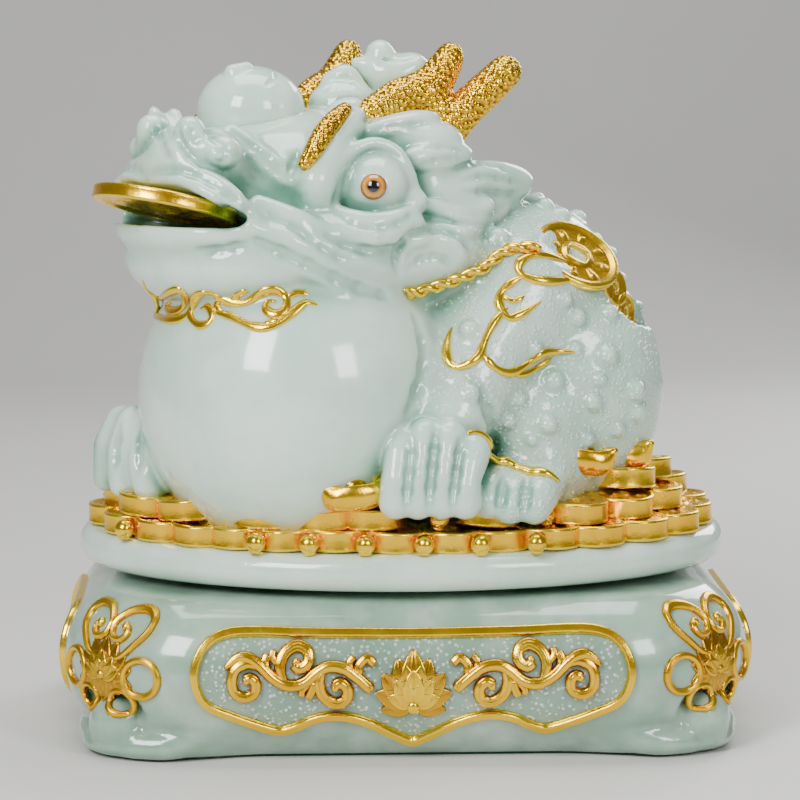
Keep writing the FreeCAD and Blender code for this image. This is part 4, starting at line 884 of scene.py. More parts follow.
# base centre and normal of each small coin down the back
GARLAND = [((86.2, -24.0, 193.8), (0.77, -0.60, 0.22)),
           ((90.6, -20.0, 183.6), (0.85, -0.52, 0.03)),
           ((93.2, -14.4, 173.4), (0.89, -0.42, 0.12)),
           ((101.2, -11.4, 159.6), (0.72, -0.56, 0.44))]
back_axes = axes_up(BACK_COIN_NORMAL)
toad.add(Oval(BACK_COIN_AT - BACK_COIN_NORMAL * 8, (17, 17, 9), back_axes), 6)
toad.cut(Oval(BACK_COIN_AT + BACK_COIN_NORMAL * 13.5, (27, 27, 11.5), back_axes), 2.0)
for i, (at, normal) in enumerate(GARLAND):
    # a coin base sunk in the skin is lifted out, by 6 mm at most
    normal = unit(normal)
    depth = -float(toad.sample(np.array([at]))[0])
    at = np.array(at) + normal * min(max(depth, 0.0), 6.0)
    GARLAND[i] = (at, normal)
    toad.cut(Oval(at + normal * 6.6, (12.5, 12.5, 5.4), axes_up(normal)), 1.5)
toad.cut_below(LEVELS[0])


def toad_body():
    points, quads = toad.mesh()
    points = relax(points, quads, 0.35)
    x, z = points[:, 0], points[:, 2]
    rump = np.clip((x - (10 + (z - 180) * 0.35)) / 12, 0, 1)
    paw = np.linalg.norm(points - seen(18, -33.75, -84), axis=1)
    off_paw = 1 - np.clip((38 - paw) / 10, 0, 1) * 0.9
    pebbled = np.clip(rump * np.clip((232 - z) / 14, 0, 1) * off_paw, 0, 1)
    # painted shade inside the mouth: its cut surface, back from the lips
    near_mouth = np.clip((1.2 - np.abs(MOUTH(*points.astype(F32).T))) / 1.0, 0, 1)
    mouth = near_mouth * np.clip((90 - (points - HEAD) @ FORWARD) / 16, 0, 1)
    # painted shade in the body's hollows
    cavity_shade = cavity(toad, points, (3.0, 8.0, 16.0)) * 0.85
    piece("toad_body", "sculpt", (points, quads), TOAD_JADE,
          attributes={"cav": cavity_shade, "peb": pebbled, "mouth": mouth})


def brow_ball():
    """Ball with a shallow crown seam."""
    at = ball_centre
    ball = Volume(at - 28, at + 28, 0.7)
    ball.add(BROW_BALL)
    ball.add(Oval(at + [15.0, -3.0, 0.0], (9.5, 15.0, 14.0)), 2.0)
    ball.cut(Tube([at + [9, -16.5, 12], at + [12.5, -9, 15], at + [12, 2, 17]],
                  [0.5, 0.9, 0.5]), 1.2)
    ball.add(Tube([at + [-6, -8, 17], at + [0, -7, 19.5]], [3.5, 2.0]), 3)
    points, quads = ball.mesh()
    # painted shade: the ball darkens towards its lower side, below z = 258
    piece("brow_ball", "polished", (points, quads), TOAD_JADE,
          attributes={"cav": np.clip((258 - points[:, 2]) / 12, 0, 0.5)})


def cloud_finial():
    cloud = Volume((-42, -14, 262), (16, 30, 312), 0.6)
    cloud.add(seen_oval((-3.15, 147.15, 8), (15.5, 11, 8.2), turn(0, 6)))
    cloud.add(seen_oval((-9, 155.7, 8), (6.4, 6.5, 6.4)), 4)
    cloud.add(seen_tube([(-12.6, 150.3, 6), (-19.35, 151.65, 5)], [5, 2.6]), 3)
    cloud.add(seen_oval((5.4, 150.3, 8), (7.5, 8, 6)), 4)
    cloud.add(seen_tube([(-6.3, 144.9, 8), (-9, 135.9, 8), (-10.8, 129.6, 6)],
                        [6.5, 5.2, 7]), 4)
    cloud.cut(seen_tube([(-15.3, 146.7, -4), (-3.6, 144, -6), (9, 148.5, -3)],
                        [0.6, 1.1, 0.6]), 1.2)
    cloud.cut(seen_tube([(-7.2, 153, 1), (1.8, 153, -1), (8.1, 154.8, 2)],
                        [0.5, 0.9, 0.5]), 1.2)
    cloud.cut_below(262.5)
    points, quads = cloud.mesh()
    # painted shade in the finial's hollows
    piece("cloud_finial", "carved", (points, quads), TOAD_JADE,
          attributes={"cav": cavity(cloud, points, (2.0, 4.0)) * 0.6})


toad_body()
brow_ball()
cloud_finial()


# ---------------------------------------------------------------- beaded horns and strips
def bead_surface(points, quads, spacing, amount):
    """Raises a close-set bead at each of a scatter of points."""
    a, b, c = (points[quads[:, k]] for k in range(3))
    face_normals = np.cross(b - a, c - a)
    normals = np.zeros_like(points)
    for k, axis in itertools.product(range(4), range(3)):
        normals[:, axis] += np.bincount(quads[:, k], face_normals[:, axis], len(points))
    normals /= np.linalg.norm(normals, axis=1, keepdims=True) + 1e-9
    cells, seeds = {}, []
    for i in np.random.RandomState(3).permutation(len(points)):
        key = (points[i] // spacing).astype(int)
        gaps = (points[i] - points[j]
                for step in itertools.product((-1, 0, 1), repeat=3)
                for j in cells.get(tuple(key + step), ()))
        if not any(np.dot(gap, gap) < spacing * spacing * 0.8 for gap in gaps):
            cells.setdefault(tuple(key), []).append(i)
            seeds.append(i)
    tree = kdtree.KDTree(len(seeds))
    for n, i in enumerate(seeds):
        tree.insert(points[i], n)
    tree.balance()
    distance = np.array([tree.find(p)[2] for p in points])
    t = np.clip(distance / (spacing * 0.62), 0, 1)
    lift = amount * np.sqrt(np.clip(1 - t * t, 0, 1)) - amount * 0.35
    # second value: a mask for painted shade in the gaps between beads
    return points + normals * lift[:, None], np.clip(t * 1.3 - 0.5, 0, 1)


def beaded(node, tubes, margin, step, spacing, amount):
    volume = Volume(np.min([t.low for t in tubes], 0) - margin,
                    np.max([t.high for t in tubes], 0) + margin, step)
    for tube in tubes:
        volume.add(tube, 3.0)
    points, quads = volume.mesh()
    # gaps is a mask for painted shade between the beads
    points, gaps = bead_surface(points, quads, spacing, amount)
    piece(node, "beaded", (points, quads), BEADED_GOLD, attributes={"cav": gaps * 0.75})


# Points as seen, with the radius at each: two branches and the joint between them.
HORN = [
    ([(-14.4, 128.7, -24), (-0.9, 135.45, -16), (12.15, 139.95, -10), (18.9, 148.05, -7),
      (22.5, 154.8, -5)], [5.8, 8.4, 9.0, 7.4, 5.6]),
    ([(20.7, 117.9, -13), (27.9, 129.15, -11), (38.7, 139.5, -9), (47.25, 147.6, -7)],
     [6.8, 8.0, 7.8, 7.0]),
    ([(12.15, 137.25, -10), (21.6, 126.9, -12)], [8.2, 7.6])]
BROW_STRIP = [(-44.55, 108.9, -76), (-41.4, 114.3, -74), (-36, 120.6, -67),
              (-30.15, 126, -58), (-24.3, 129.15, -48)]
for side, to_side in (("left", np.array), ("right", mirror)):
    horn = [Tube([to_side(seen(*p)) for p in points], radii) for points, radii in HORN]
    beaded(side + "_horn", horn, margin=4, step=0.55, spacing=2.4,
           amount=0.85)
    strip = toad.project(np.array([to_side(seen(*p)) for p in BROW_STRIP]), 10)
    strip = strip + toad.gradient(strip) * 1.3
    beaded(side + "_brow_strip", [Tube(strip, [2.8, 3.8, 4.4, 4.2, 2.8])], margin=3,
           step=0.45, spacing=1.9, amount=0.6)


# ---------------------------------------------------------------- wires and ropes on the toad
def lay_on_toad(points, lift):
    """Path settled on the skin, and the skin's normals along it."""
    path = toad.project(points, 10)
    normals = toad.gradient(path, 2.0)
    path = path + normals * lift
    for _ in range(2):
        path[1:-1] = (path[:-2] + 2 * path[1:-1] + path[2:]) / 4
    return path, normals


def wire(points, radius, squash=0.75, lift=0.2):
    path, normals = lay_on_toad(points, lift)
    t = np.linspace(0, 1, len(path))
    taper = np.minimum(1, np.minimum(0.25 + t * 5, 0.25 + (1 - t) * 5))
    return sweep(path, radius * (taper * (1 + 0.18 * np.sin(t * 19))), squash, normals)


def neck_rope(node, points):
    """Two strands twisted together."""
    path, _ = lay_on_toad(spline(points, 10), 1.7)
    steps = np.linalg.norm(np.diff(path, axis=0), axis=1)
    length = np.concatenate([[0], np.cumsum(steps)])
    s = np.linspace(0, length[-1], 260)
    core = np.stack([np.interp(s, length, path[:, k]) for k in range(3)], 1)
    _, across, side = path_frames(core)
    fat = np.minimum(1, 0.55 + s / 9.0)
    strands = []
    for phase in (0, math.pi):
        a = (s * 2 * math.pi / 15.0 + phase)[:, None]
        offset = 1.25 * fat[:, None] * (np.cos(a) * across + np.sin(a) * side)
        strands.append(sweep(core + offset, 1.75 * fat))
    piece(node, "twisted", join(strands), GOLD)


# The far-side rope and flame are near-side curves mirrored across the body.
BODY = np.array([21.0, 7.0, 0.0])
BODY_SIDE = np.array([0.5, -0.866, 0.0])
ROPE = [(-8.1, -67.6, 199.0), (-0.9, -62.3, 196.3), (10.1, -52.9, 195.8),
        (20.3, -55.0, 199.8), (29.0, -57.2, 205.8), (35.8, -55.4, 211.4),
        (44.0, -52.9, 213.8), (53.7, -48.9, 213.5), (66.5, -32.6, 212.9)]
FLAME = [
    [(63.2, -45.2, 207.7), (56.1, -50.8, 209.8), (47.7, -55.9, 208.5), (46.2, -58.6, 204.8),
     (48.3, -59.9, 200.5), (57.9, -56.2, 198.8), (69.4, -43.0, 198.2), (75.7, -34.6, 200.5)],
    [(48.3, -60.2, 199.7), (41.1, -62.2, 195.9), (37.6, -62.7, 189.8), (40.3, -62.0, 182.7),
     (47.5, -60.9, 181.7), (53.3, -59.6, 184.6), (58.8, -57.0, 189.6)],
    [(40.3, -62.0, 182.7), (35.2, -60.6, 177.6), (33.5, -64.4, 172.0), (29.9, -72.7, 166.8),
     (21.4, -75.9, 164.1), (15.8, -73.1, 166.9), (14.4, -66.6, 172.3)],
    [(33.5, -64.4, 172.0), (35.8, -69.6, 166.4), (43.7, -64.4, 162.1), (49.2, -60.0, 162.3),
     (57.5, -60.5, 168.6), (63.3, -58.9, 171.5), (72.0, -56.9, 170.8)]]
ANKLE_CORD = [(23.6, -85.7, 135.2), (31.4, -81.2, 132.7), (38.0, -75.6, 130.0),
              (44.4, -74.4, 127.0), (50.4, -76.8, 123.6), (57.7, -79.2, 120.7),
              (64.8, -79.7, 117.6)]
# radius, then (right, up) spots
LEFT_FLAME = [
    (2.0, [(75.15, 62.1), (66.6, 64.8), (58.5, 64.8), (53.55, 61.65), (54, 56.7),
           (63, 53.55), (72.9, 53.55), (86.4, 55.8)]),
    (1.9, [(55.8, 55.8), (47.25, 50.85), (44.1, 44.1), (48.6, 36.9), (54.9, 38.7),
           (63, 44.1)]),
    (1.9, [(48.15, 41.4), (42.3, 35.1), (37.8, 26.1), (35.1, 18.9), (26.1, 14.4),
           (21.15, 18), (21.15, 26.1), (23.4, 32.4)]),
    (1.9, [(37.8, 20.7), (41.4, 15.3), (49.5, 11.7), (58.5, 17.1), (65.25, 21.6),
           (78.3, 21.6)]),
    (1.3, [(45, 14.4), (54, 10.8), (63, 15.3), (68.4, 18.9)]),
    (1.3, [(46.35, 46.8), (51.3, 44.1), (55.8, 46.8)])]
CHIN_BAND = [
    (1.95, [(-115.65, 53.55), (-112.95, 47.7), (-108.9, 45), (-104.4, 48.15), (-99, 49.95),
            (-96.3, 45.9), (-98.1, 40.95), (-102.6, 39.6), (-105.3, 42.3),
            (-103.05, 44.1)]),
    (1.95, [(-115.65, 49.05), (-114.3, 42.3), (-109.8, 37.8), (-103.5, 36), (-97.2, 36.9),
            (-93.6, 41.4), (-91.8, 46.8), (-87.75, 48.6), (-83.7, 46.8)]),
    (1.82, [(-93.6, 43.2), (-94.5, 37.8), (-90.9, 33.75), (-86.4, 34.2), (-84.15, 38.7),
            (-86.4, 42.3), (-89.55, 40.95)]),
    (2.08, [(-86.4, 49.5), (-81, 45.45), (-74.7, 43.65), (-68.4, 44.1), (-62.1, 48.6),
            (-55.8, 49.5), (-51.3, 46.35), (-51.3, 40.95), (-55.8, 38.25), (-60.3, 40.5),
            (-59.4, 44.55), (-55.8, 44.1)]),
    (1.95, [(-83.7, 39.6), (-76.5, 37.8), (-69.3, 34.2), (-62.1, 32.4), (-54.9, 34.2),
            (-47.7, 39.6), (-42.3, 44.1), (-37.35, 42.75)]),
    (1.56, [(-51.3, 45.9), (-45.9, 48.6), (-41.4, 47.25)]),
    (1.56, [(-75.6, 43.65), (-72.9, 47.7), (-68.4, 49.5)]),
    (1.43, [(-62.1, 32.4), (-58.5, 35.1), (-53.1, 36)]),
    (1.43, [(-80.1, 45.9), (-82.8, 42.3), (-80.1, 40.05)])]

neck_rope("left_neck_rope", [seen(-4.5, 51.3, -60), seen(0.9, 49.05, -58)] + list(toad.hit(
    [(8.1, 49.5), (18, 53.1), (27.9, 56.7), (37.8, 59.4), (46.8, 65.7), (54.9, 67.5),
     (61.2, 67.5)])))
neck_rope("right_neck_rope", [mirror(p, BODY, BODY_SIDE) for p in ROPE])
piece("left_shoulder_flame", "scroll",
      join([wire(line_on_toad(spots), r) for r, spots in LEFT_FLAME]), GOLD)
piece("right_shoulder_flame", "scroll",
      join([wire(spline([mirror(p, BODY, BODY_SIDE) for p in curve], 6), 1.8)
            for curve in FLAME]), GOLD)
piece("left_ankle_cord", "flat", wire(spline(ANKLE_CORD, 8), 2.5, squash=0.7, lift=0.8), GOLD)
piece("chin_scroll_band", "relief",
      join([wire(line_on_toad(spots), r, squash=0.55) for r, spots in CHIN_BAND]), GOLD)


# ---------------------------------------------------------------- coins
def coin(radius, thick, hole, rim, seg, sunk, seed=1, wear=0.0, marks=12):
    """Coin with raised rims, a square hole, raised marks between and a grooved edge.

    Its base is at z = 0; hole is half the square's side, sunk the depth inside the rims.
    """
    a = np.arange(seg) * 2 * math.pi / seg
    square = hole / np.maximum(np.abs(np.cos(a)), np.abs(np.sin(a)))
    inner = hole * 1.35
    phase = np.random.RandomState(seed).rand() * 6.28

    def edge(inset):
        worn = 1 + wear * np.sin(3 * a + seed) + wear * 0.5 * np.sin(7 * a + 2 * seed)
        return radius * worn - inset

    def ring(r, z):
        return np.stack([r * np.cos(a), r * np.sin(a), z + 0 * a], 1)

    def face(z_face, z_rim, sign):
        rings = [ring(edge(0.9), z_rim), ring(edge(rim - 0.5), z_rim)]
        for f in np.linspace(1, 0, 9):
            r = (inner + 1.4) + (edge(rim + 0.4) - inner - 1.4) * f
            mark = (np.clip(np.sin(a * marks / 2 + phase) * 3 - 1.2, 0, 1)
                    * np.clip(1.6 - abs(f - 0.55) * 4.4, 0, 1))
            mark = mark * (0.6 + 0.4 * np.sin(a * 9 + f * 14 + seed))
            rings.append(ring(r, z_face + sign * sunk * 0.85 * mark))
        z_lip = z_rim - sign * 0.15
        return rings + [ring(inner + 0.7, z_lip), ring(square + 0.1, z_lip)]

    # inset and height down the edge
    edge_rings = [ring(edge(inset), z) for inset, z in (
        (0.25, thick - 0.4), (0.0, thick - 0.9), (0.1, thick - 1.5), (0.22, thick - 2.0),
        (0.22, thick * 0.5), (0.22, 2.0), (0.1, 1.5), (0.0, 0.9), (0.25, 0.4))]
    rings = face(thick - sunk, thick, 1)[::-1] + edge_rings + face(sunk, 0.0, -1)
    count = len(rings)
    faces = []
    for i in range(count):
        k = (i + 1) % count
        for j in range(seg):
            n = (j + 1) % seg
            faces.append((i * seg + j, k * seg + j, k * seg + n, i * seg + n))
    return np.concatenate(rings), faces


points, faces = coin(31.5, 6.0, 4.3, rim=4.2, seg=160, sunk=1.2, marks=16)
piece("mouth_coin", "struck", (place(points - [0, 0, 3.0], MOUTH_COIN_AT, MOUTH_AXES),
                               outward(points, faces)), COIN_GOLD, body="mouth_coin")
points, faces = coin(20.0, 4.0, 4.2, rim=3.2, seg=128, sunk=1.1, marks=16, seed=5)
piece("back_coin_large", "struck", (place(points, BACK_COIN_AT, back_axes),
                                    outward(points, faces)), COIN_GOLD)
garland = []
for i, (at, normal) in enumerate(GARLAND):
    points, faces = coin(9.0, 3.0, 1.7, rim=1.6, seg=48, sunk=0.6, seed=11 + i)
    garland.append((place(points, at, axes_up(normal)), faces))
piece("back_coin_garland", "struck", join(garland), COIN_GOLD)

# x, y of the coins in each layer of the bed
LOWER = [(-118, -28), (-104, -46), (-88, -58), (-72, -66), (-53, -72), (-31, -76), (-7, -79),
         (17, -79), (38, -76), (59, -73), (79, -66), (99, -53), (115, -36), (124, -14),
         (125, 12), (117, 34), (98, 54), (76, 66), (50, 74), (24, 78), (-4, 79), (-32, 76),
         (-58, 71), (-84, 60), (-106, 44), (-121, 22), (-126, -4), (90, -38), (108, 4),
         (-100, 22), (-66, 50), (84, 44)]
UPPER = [(-112, -34), (-94, -49), (-62, -67), (-36, -72), (-16, -75), (33, -72), (72, -62),
         (94, -46), (109, -24), (115, 6), (-120, 0), (-112, 26), (-88, 50), (-56, 64),
         (-22, 70), (12, 72), (44, 68), (78, 56), (104, 34)]
TOP = [(96, -32), (106, -8), (-104, 34), (92, 42)]


def coin_layer(node, spots, level, lean):
    """Coins lying on a level, each leaning a little at random."""
    thick = 9.2
    rng = np.random.RandomState(len(spots))
    parts = []
    for i, (x, y) in enumerate(spots):
        points, faces = coin(14.6 + 0.5 * rng.rand(), thick, 2.2, rim=2.2, seg=56, sunk=0.9,
                             seed=i + 20, wear=0.012)
        tilt = axes_up((lean * (rng.rand() - 0.5), lean * (rng.rand() - 0.5), 1.0))
        parts.append((place(points - [0, 0, thick / 2], (x, y, level + 4.7),
                            tilt @ turn(rng.rand() * 90)), faces))
    piece(node, "struck", join(parts), COIN_GOLD)


coin_layer("coin_bed_lower", LOWER, LEVELS[0], lean=0.05)
coin_layer("coin_bed_upper", UPPER, LEVELS[1], lean=0.16)
coin_layer("coin_bed_top", TOP, LEVELS[2], lean=0.20)


# ---------------------------------------------------------------- beads and ingots
def gold_beads():
    clear = 19.35  # least distance from a coin's centre to a bead's centre
    # beads on the plate, pushed outwards until they clear the lower coins
    on_plate = [
        (-111, -57), (-121, -48), (-96, -68), (-63, -82), (-42, -87), (-19, -90), (5, -91),
        (28, -90), (50, -86), (70, -82), (90, -70), (110, -58), (122, -44), (127, 32),
        (88, 72), (38, 88), (-18, 90), (-72, 78), (-116, 52)]
    # beads on the lower coins, kept only where one carries them
    on_coins = [
        (-79, -66), (-2, -84), (12, -86), (50, -78), (58, -76), (84, -66), (122, -26),
        (-124, -26), (66, 70), (-6, 78), (-100, 48)]

    def to_nearest(x, y, spots):
        return min(math.hypot(x - cx, y - cy) for cx, cy in spots)

    beads = []
    for x, y in on_plate:
        for _ in range(60):
            if to_nearest(x, y, LOWER) >= clear:
                break
            length = math.hypot(x, y)
            x, y = x + x / length * 0.25, y + y / length * 0.25
        if (x / 144) ** 2 + (y / 99) ** 2 < 1:
            beads.append((x, y, 92.4))
    beads += [(x, y, 101.8) for x, y in on_coins
              if to_nearest(x, y, UPPER) >= clear and to_nearest(x, y, LOWER) < 14]
    # radius and height: flattened below, round above
    profile = [(0, -4.4), (2.6, -4.35), (2.9, -3.6)]
    profile += [(4.3 * math.cos(math.radians(b)), 4.3 * math.sin(math.radians(b)))
                for b in range(-50, 85, 9)]
    profile += [(0.5, 4.2), (0, 4.12)]
    points, faces = lathe(profile, 28, wobble=0.008)
    parts = []
    for i, at in enumerate(beads):
        tilt = axes_up((0.12 * math.sin(i * 2.1), 0.12 * math.cos(i * 1.7), 1))
        parts.append((place(points, at, tilt @ turn(37 * i)), faces))
    piece("gold_beads", "polished", join(parts), GOLD)


def gold_ingots():
    """Boat-shaped ingots with a round middle and raised ends."""
    # x, y, level, yaw, pitch
    spots = [(-24, -89, LEVELS[2], 8, -6), (76, -52, LEVELS[3], -12, 8),
             (96, -32, LEVELS[3], -35, 4), (92, 42, LEVELS[3], 30, -5),
             (-26, 72, LEVELS[2], -5, 6)]
    ingot = Volume((-17, -12, -9), (17, 12, 11), 0.5)
    ingot.add(Oval((0, 0, 0), (13.2, 8.2, 8.2)))
    ingot.cut(Oval((0, 0, 8.5), (11.5, 6.6, 7.4)), 1.2)
    for sign in (-1, 1):
        ingot.add(Tube([(9 * sign, 0, 0), (13.5 * sign, 0, 5.2)], [5.0, 2.0]), 4)
    ingot.cut(Oval((0, 0, 9.2), (10.8, 5.8, 6.6)), 1.2)
    ingot.add(Oval((0, 0, 2.6), (5.6, 5.0, 5.2)), 1.0)
    ingot.cut_below(-6.5)
    points, quads = ingot.mesh()
    # painted shade in the ingots' hollows
    cavity_shade = cavity(ingot, points, (1.5, 3.0)) * 0.7
    placed = [place(points, (x, y, level + 6.55), turn(yaw, pitch))
              for x, y, level, yaw, pitch in spots]
    faces = [quads + k * len(points) for k in range(len(spots))]
    piece("gold_ingots", "cast", (np.concatenate(placed), np.concatenate(faces)), GOLD,
          attributes={"cav": np.tile(cavity_shade, len(spots))})


gold_beads()
gold_ingots()

# ---------------------------------------------------------------- eyes
AMBER_GLASS = amber_glass()
for node, x, y, gaze in (("left_eye", -14.6, -56.0, (-0.05, -0.99, 0.12)),
                         ("right_eye", -80.2, 21.1, (-0.976, 0.18, 0.12))):
    radius = 6.2
    arc = [math.radians(b) for b in range(-82, 88, 5)]
    profile = [(0, -radius)] + [(radius * math.cos(b), radius * math.sin(b)) for b in arc]
    points, faces = lathe(profile + [(0, 6.26)], 56)
    zone = np.hypot(points[:, 0], points[:, 1]) / 6.6
    zone[points[:, 2] < 0] = 1
    centre = np.array([x, y, 241.0]) + unit(gaze) * 12.2
    piece(node, "glass", (place(points, centre, axes_up(gaze)), faces), AMBER_GLASS,
          attributes={"zone": zone})


# ---------------------------------------------------------------- plate
def turntable_plate():
    """Oval plate with a rounded edge and a slightly uneven top."""
    seg, long_radius, short_radius, corner = 220, 145.0, 100.0, 7.2
    a = np.arange(seg) * 2 * math.pi / seg
    rim = np.stack([long_radius * np.cos(a), short_radius * np.sin(a)], 1)
    normal = np.stack([np.cos(a) / long_radius, np.sin(a) / short_radius], 1)
    normal /= np.linalg.norm(normal, axis=1, keepdims=True)
    arc = [(corner * math.sin(math.radians(b)), corner * math.cos(math.radians(b)))
           for b in range(0, 91, 10)]
    # inset from the rim and height, from underside to top
    profile = [(60, 72.0), (30, 72.0), (12, 72.0), (9, 72.0)]
    profile += [(corner - s, 79.2 - c) for s, c in arc]
    profile += [(corner - c, 80.8 + s) for s, c in arc]
    profile += [(9, 88.0), (12, 87.95), (30, 88.0), (60, 88.0)]
    rings = [np.concatenate([rim - normal * i, np.full((seg, 1), z)], 1) for i, z in profile]
    points = np.concatenate(rings + [np.array([[0, 0, 88.0], [0, 0, 72.0]])])
    last = (len(rings) - 1) * seg
    faces = [f for start in range(0, last, seg) for f in band_faces(start, seg)]
    for j in range(seg):
        k = (j + 1) % seg
        faces += [(last + j, last + k, last + seg), (k, j, last + seg + 1)]
    wave = 0.18 * np.sin(points[:, 0] / 23.0 + 1) * np.sin(points[:, 1] / 17.0)
    points[:, 2] += wave * (points[:, 2] > 80)
    faces = outward(points - [0, 0, 80], faces)
    # painted shade on the underside, below z = 74
    piece("turntable_plate", "turned", (points, faces), PLATE_JADE,
          attributes={"peb": np.full(len(points), 0.05),
                      "cav": np.clip((74 - points[:, 2]) / 4, 0, 0.3)})


turntable_plate()


# ---------------------------------------------------------------- pedestal wall
def wall(x, y, z):
    """Distance to the rounded-box wall, which bulges most at z = 37."""
    qx, qy = np.abs(x) - 85.5, np.abs(y) - 43.5
    d = (np.sqrt(np.maximum(qx, 0) ** 2 + np.maximum(qy, 0) ** 2)
         + np.minimum(np.maximum(qx, qy), 0) - 65.0)
    height = z - 37.0
    bulge = np.where(height > 0, F32(34), F32(44))
    return np.sqrt(np.maximum(d + bulge, 0) ** 2 + height ** 2) - bulge


def wall_at(p):
    """Distance to the wall with its corner feet."""
    x, y, z = p.T
    foot = np.stack([np.abs(x) - 125.0, np.abs(y) - 84.0, (z - 15.0) * 13.0 / 13.2], 1)
    return smooth_min(wall(x, y, z), np.linalg.norm(foot, axis=1) - 13.0, 2.5)


def wall_normal(p):
    e = np.eye(3) * 0.3
    g = np.stack([wall_at(p + e[k]) - wall_at(p - e[k]) for k in range(3)], 1)
    return g / (np.linalg.norm(g, axis=1, keepdims=True) + 1e-9)


def relief_shade(p, top, amount):
    """Painted shade in a relief's low places: 0 at height top, amount at the wall."""
    return np.clip((top - wall_at(p)) / top, 0, 1) * amount


# A view of the wall: the origin of its (u, w) plane outside the wall, and its u direction.
# w runs up, and the way in is square to u.
VIEWS = {"front": ((0, -135, 0), (1, 0, 0)), "back": ((0, 135, 0), (-1, 0, 0)),
         "left": ((-178, 0, 0), (0, -1, 0)), "right": ((178, 0, 0), (0, 1, 0))}


def inward(along):
    return np.array([-along[1], along[0], 0.0])


def on_wall(view, u, w, high):
    """Drops (u, w) of a view straight in onto the wall, then raises it by high."""
    origin, along = view
    u, w = np.asarray(u, float)[:, None], np.asarray(w, float)[:, None]
    p = np.array(origin, float) + u * np.array(along, float) + w * np.array([0, 0, 1.0])
    for _ in range(70):
        p = p + inward(along) * np.clip(wall_at(p) * 0.95, -2, 30)[:, None]
    return p + wall_normal(p) * np.asarray(high, float)[:, None]


def ribbon(view, points, width, high, groove=0.0, closed=False, flat=False, per=6):
    """Relief ribbon on the wall, with a domed and grooved or a flat-topped section."""
    line = spline(points, per, closed)
    count = len(line)
    if closed:
        t = np.roll(line, -1, 0) - np.roll(line, 1, 0)
    else:
        t = np.gradient(line, axis=0)
    t /= np.linalg.norm(t, axis=1, keepdims=True) + 1e-9
    normal = np.stack([-t[:, 1], t[:, 0]], 1)
    s = np.linspace(0, 1, count)
    taper = np.ones(count)
    if not closed:
        tail = np.sqrt(np.clip(1 - ((s - 0.93) / 0.075) ** 2, 0.03, 1))
        start = np.sqrt(np.clip(1 - ((0.06 - s) / 0.065) ** 2, 0.03, 1))
        taper = (np.minimum(1, np.minimum(0.45 + s * 4, 0.75 + (1 - s) * 8))
                 * np.where(s > 0.93, tail, 1) * np.where(s < 0.06, start, 1))
    across = np.linspace(-1, 1, 11)
    if flat:
        section = np.minimum(1, (1 - np.abs(across)) * 3.2) ** 0.6
    else:
        section = np.sqrt(1 - across * across * 0.96)
        section = section - groove * (np.exp(-((across - 0.38) / 0.14) ** 2)
                                      + np.exp(-((across + 0.38) / 0.14) ** 2))
    # the last three points close the section inside the wall
    across = np.concatenate([across, [0.97, 0.0, -0.97]])
    section = np.concatenate([section * high, [-1.3, -1.3, -1.3]])
    size = len(across)
    spread = (across * width / 2)[None, :, None]
    uw = line[:, None, :] + normal[:, None, :] * spread * taper[:, None, None]
    heights = np.where(section > 0, section[None] * (0.55 + 0.45 * taper[:, None]),
                       section[None])
    p = on_wall(view, uw[..., 0].ravel(), uw[..., 1].ravel(), heights.ravel())
    faces = []
    for i in range(count if closed else count - 1):
        k = (i + 1) % count
        for j in range(size):
            n = (j + 1) % size
            faces.append((i * size + j, i * size + n, k * size + n, k * size + j))
    if not closed:
        faces.append(tuple(range(size))[::-1])
        faces.append(tuple((count - 1) * size + j for j in range(size)))
    return p, faces


def leaf(view, base, angle, length, width, high, lift, bend=0.0):
    """Pointed petal on the wall with a raised edge and a hollow down its middle."""
    n, m = 15, 11
    s = np.linspace(0.02, 1, n)[:, None]
    a = np.linspace(-1, 1, m)[None, :]
    heading = math.radians(angle) + bend * s
    u = base[0] + np.cumsum(np.cos(heading), 0) * length / n
    w = base[1] + np.cumsum(np.sin(heading), 0) * length / n
    half = width / 2 * np.sin(np.pi * np.clip(s, 0, 0.995) ** 0.75) ** 0.75 + 0.08
    u = (u - np.sin(heading) * a * half).ravel()
    w = (w + np.cos(heading) * a * half).ravel()
    across = (0.55 - 0.25 * np.exp(-(a / 0.14) ** 2)
              + 0.55 * np.exp(-((np.abs(a) - 0.8) / 0.13) ** 2))
    heights = lift + (high * (0.45 + 0.55 * np.sin(np.pi * s * 0.9))
                      * np.clip((1 - a ** 6), 0.15, 1) * across)
    top = on_wall(view, u, w, heights.ravel())
    low = on_wall(view, u, w, np.full(u.size, -1.2))
    under = n * m
    faces = []
    for i in range(n - 1):
        for j in range(m - 1):
            k = i * m + j
            faces.append((k, k + m, k + m + 1, k + 1))
            faces.append((under + k, under + k + 1, under + k + m + 1, under + k + m))
    rim = ([i * m for i in range(n)] + [(n - 1) * m + j for j in range(1, m)]
           + [i * m + m - 1 for i in range(n - 2, -1, -1)] + list(range(m - 2, 0, -1)))
    for i, k in zip(rim, rim[1:] + rim[:1]):
        faces.append((i, i + under, k + under, k))
    return np.concatenate([top, low]), faces


def button(view, centre, radius, high):
    """Domed stud on the wall."""
    n, m = 7, 24
    spots = [(centre[0], centre[1], high)]
    for i in range(1, n):
        for j in range(m):
            a = 2 * math.pi * j / m
            k = i / (n - 1)
            height = (high * math.sqrt(max(1 - k ** 2.4, 0)) - (1.2 if i == n - 1 else 0)
                      + 0.12 * math.sin(6 * a) * k)
            spots.append((centre[0] + radius * k * math.cos(a),
                          centre[1] + radius * k * math.sin(a), height))
    faces = [(0, 1 + j, 1 + (j + 1) % m) for j in range(m)]
    for i in range(n - 2):
        for j in range(m):
            k = (j + 1) % m
            b = 1 + i * m
            faces.append((b + j, b + m + j, b + m + k, b + k))
    faces.append(tuple(1 + (n - 2) * m + j for j in range(m))[::-1])
    return on_wall(view, *zip(*spots), ), faces


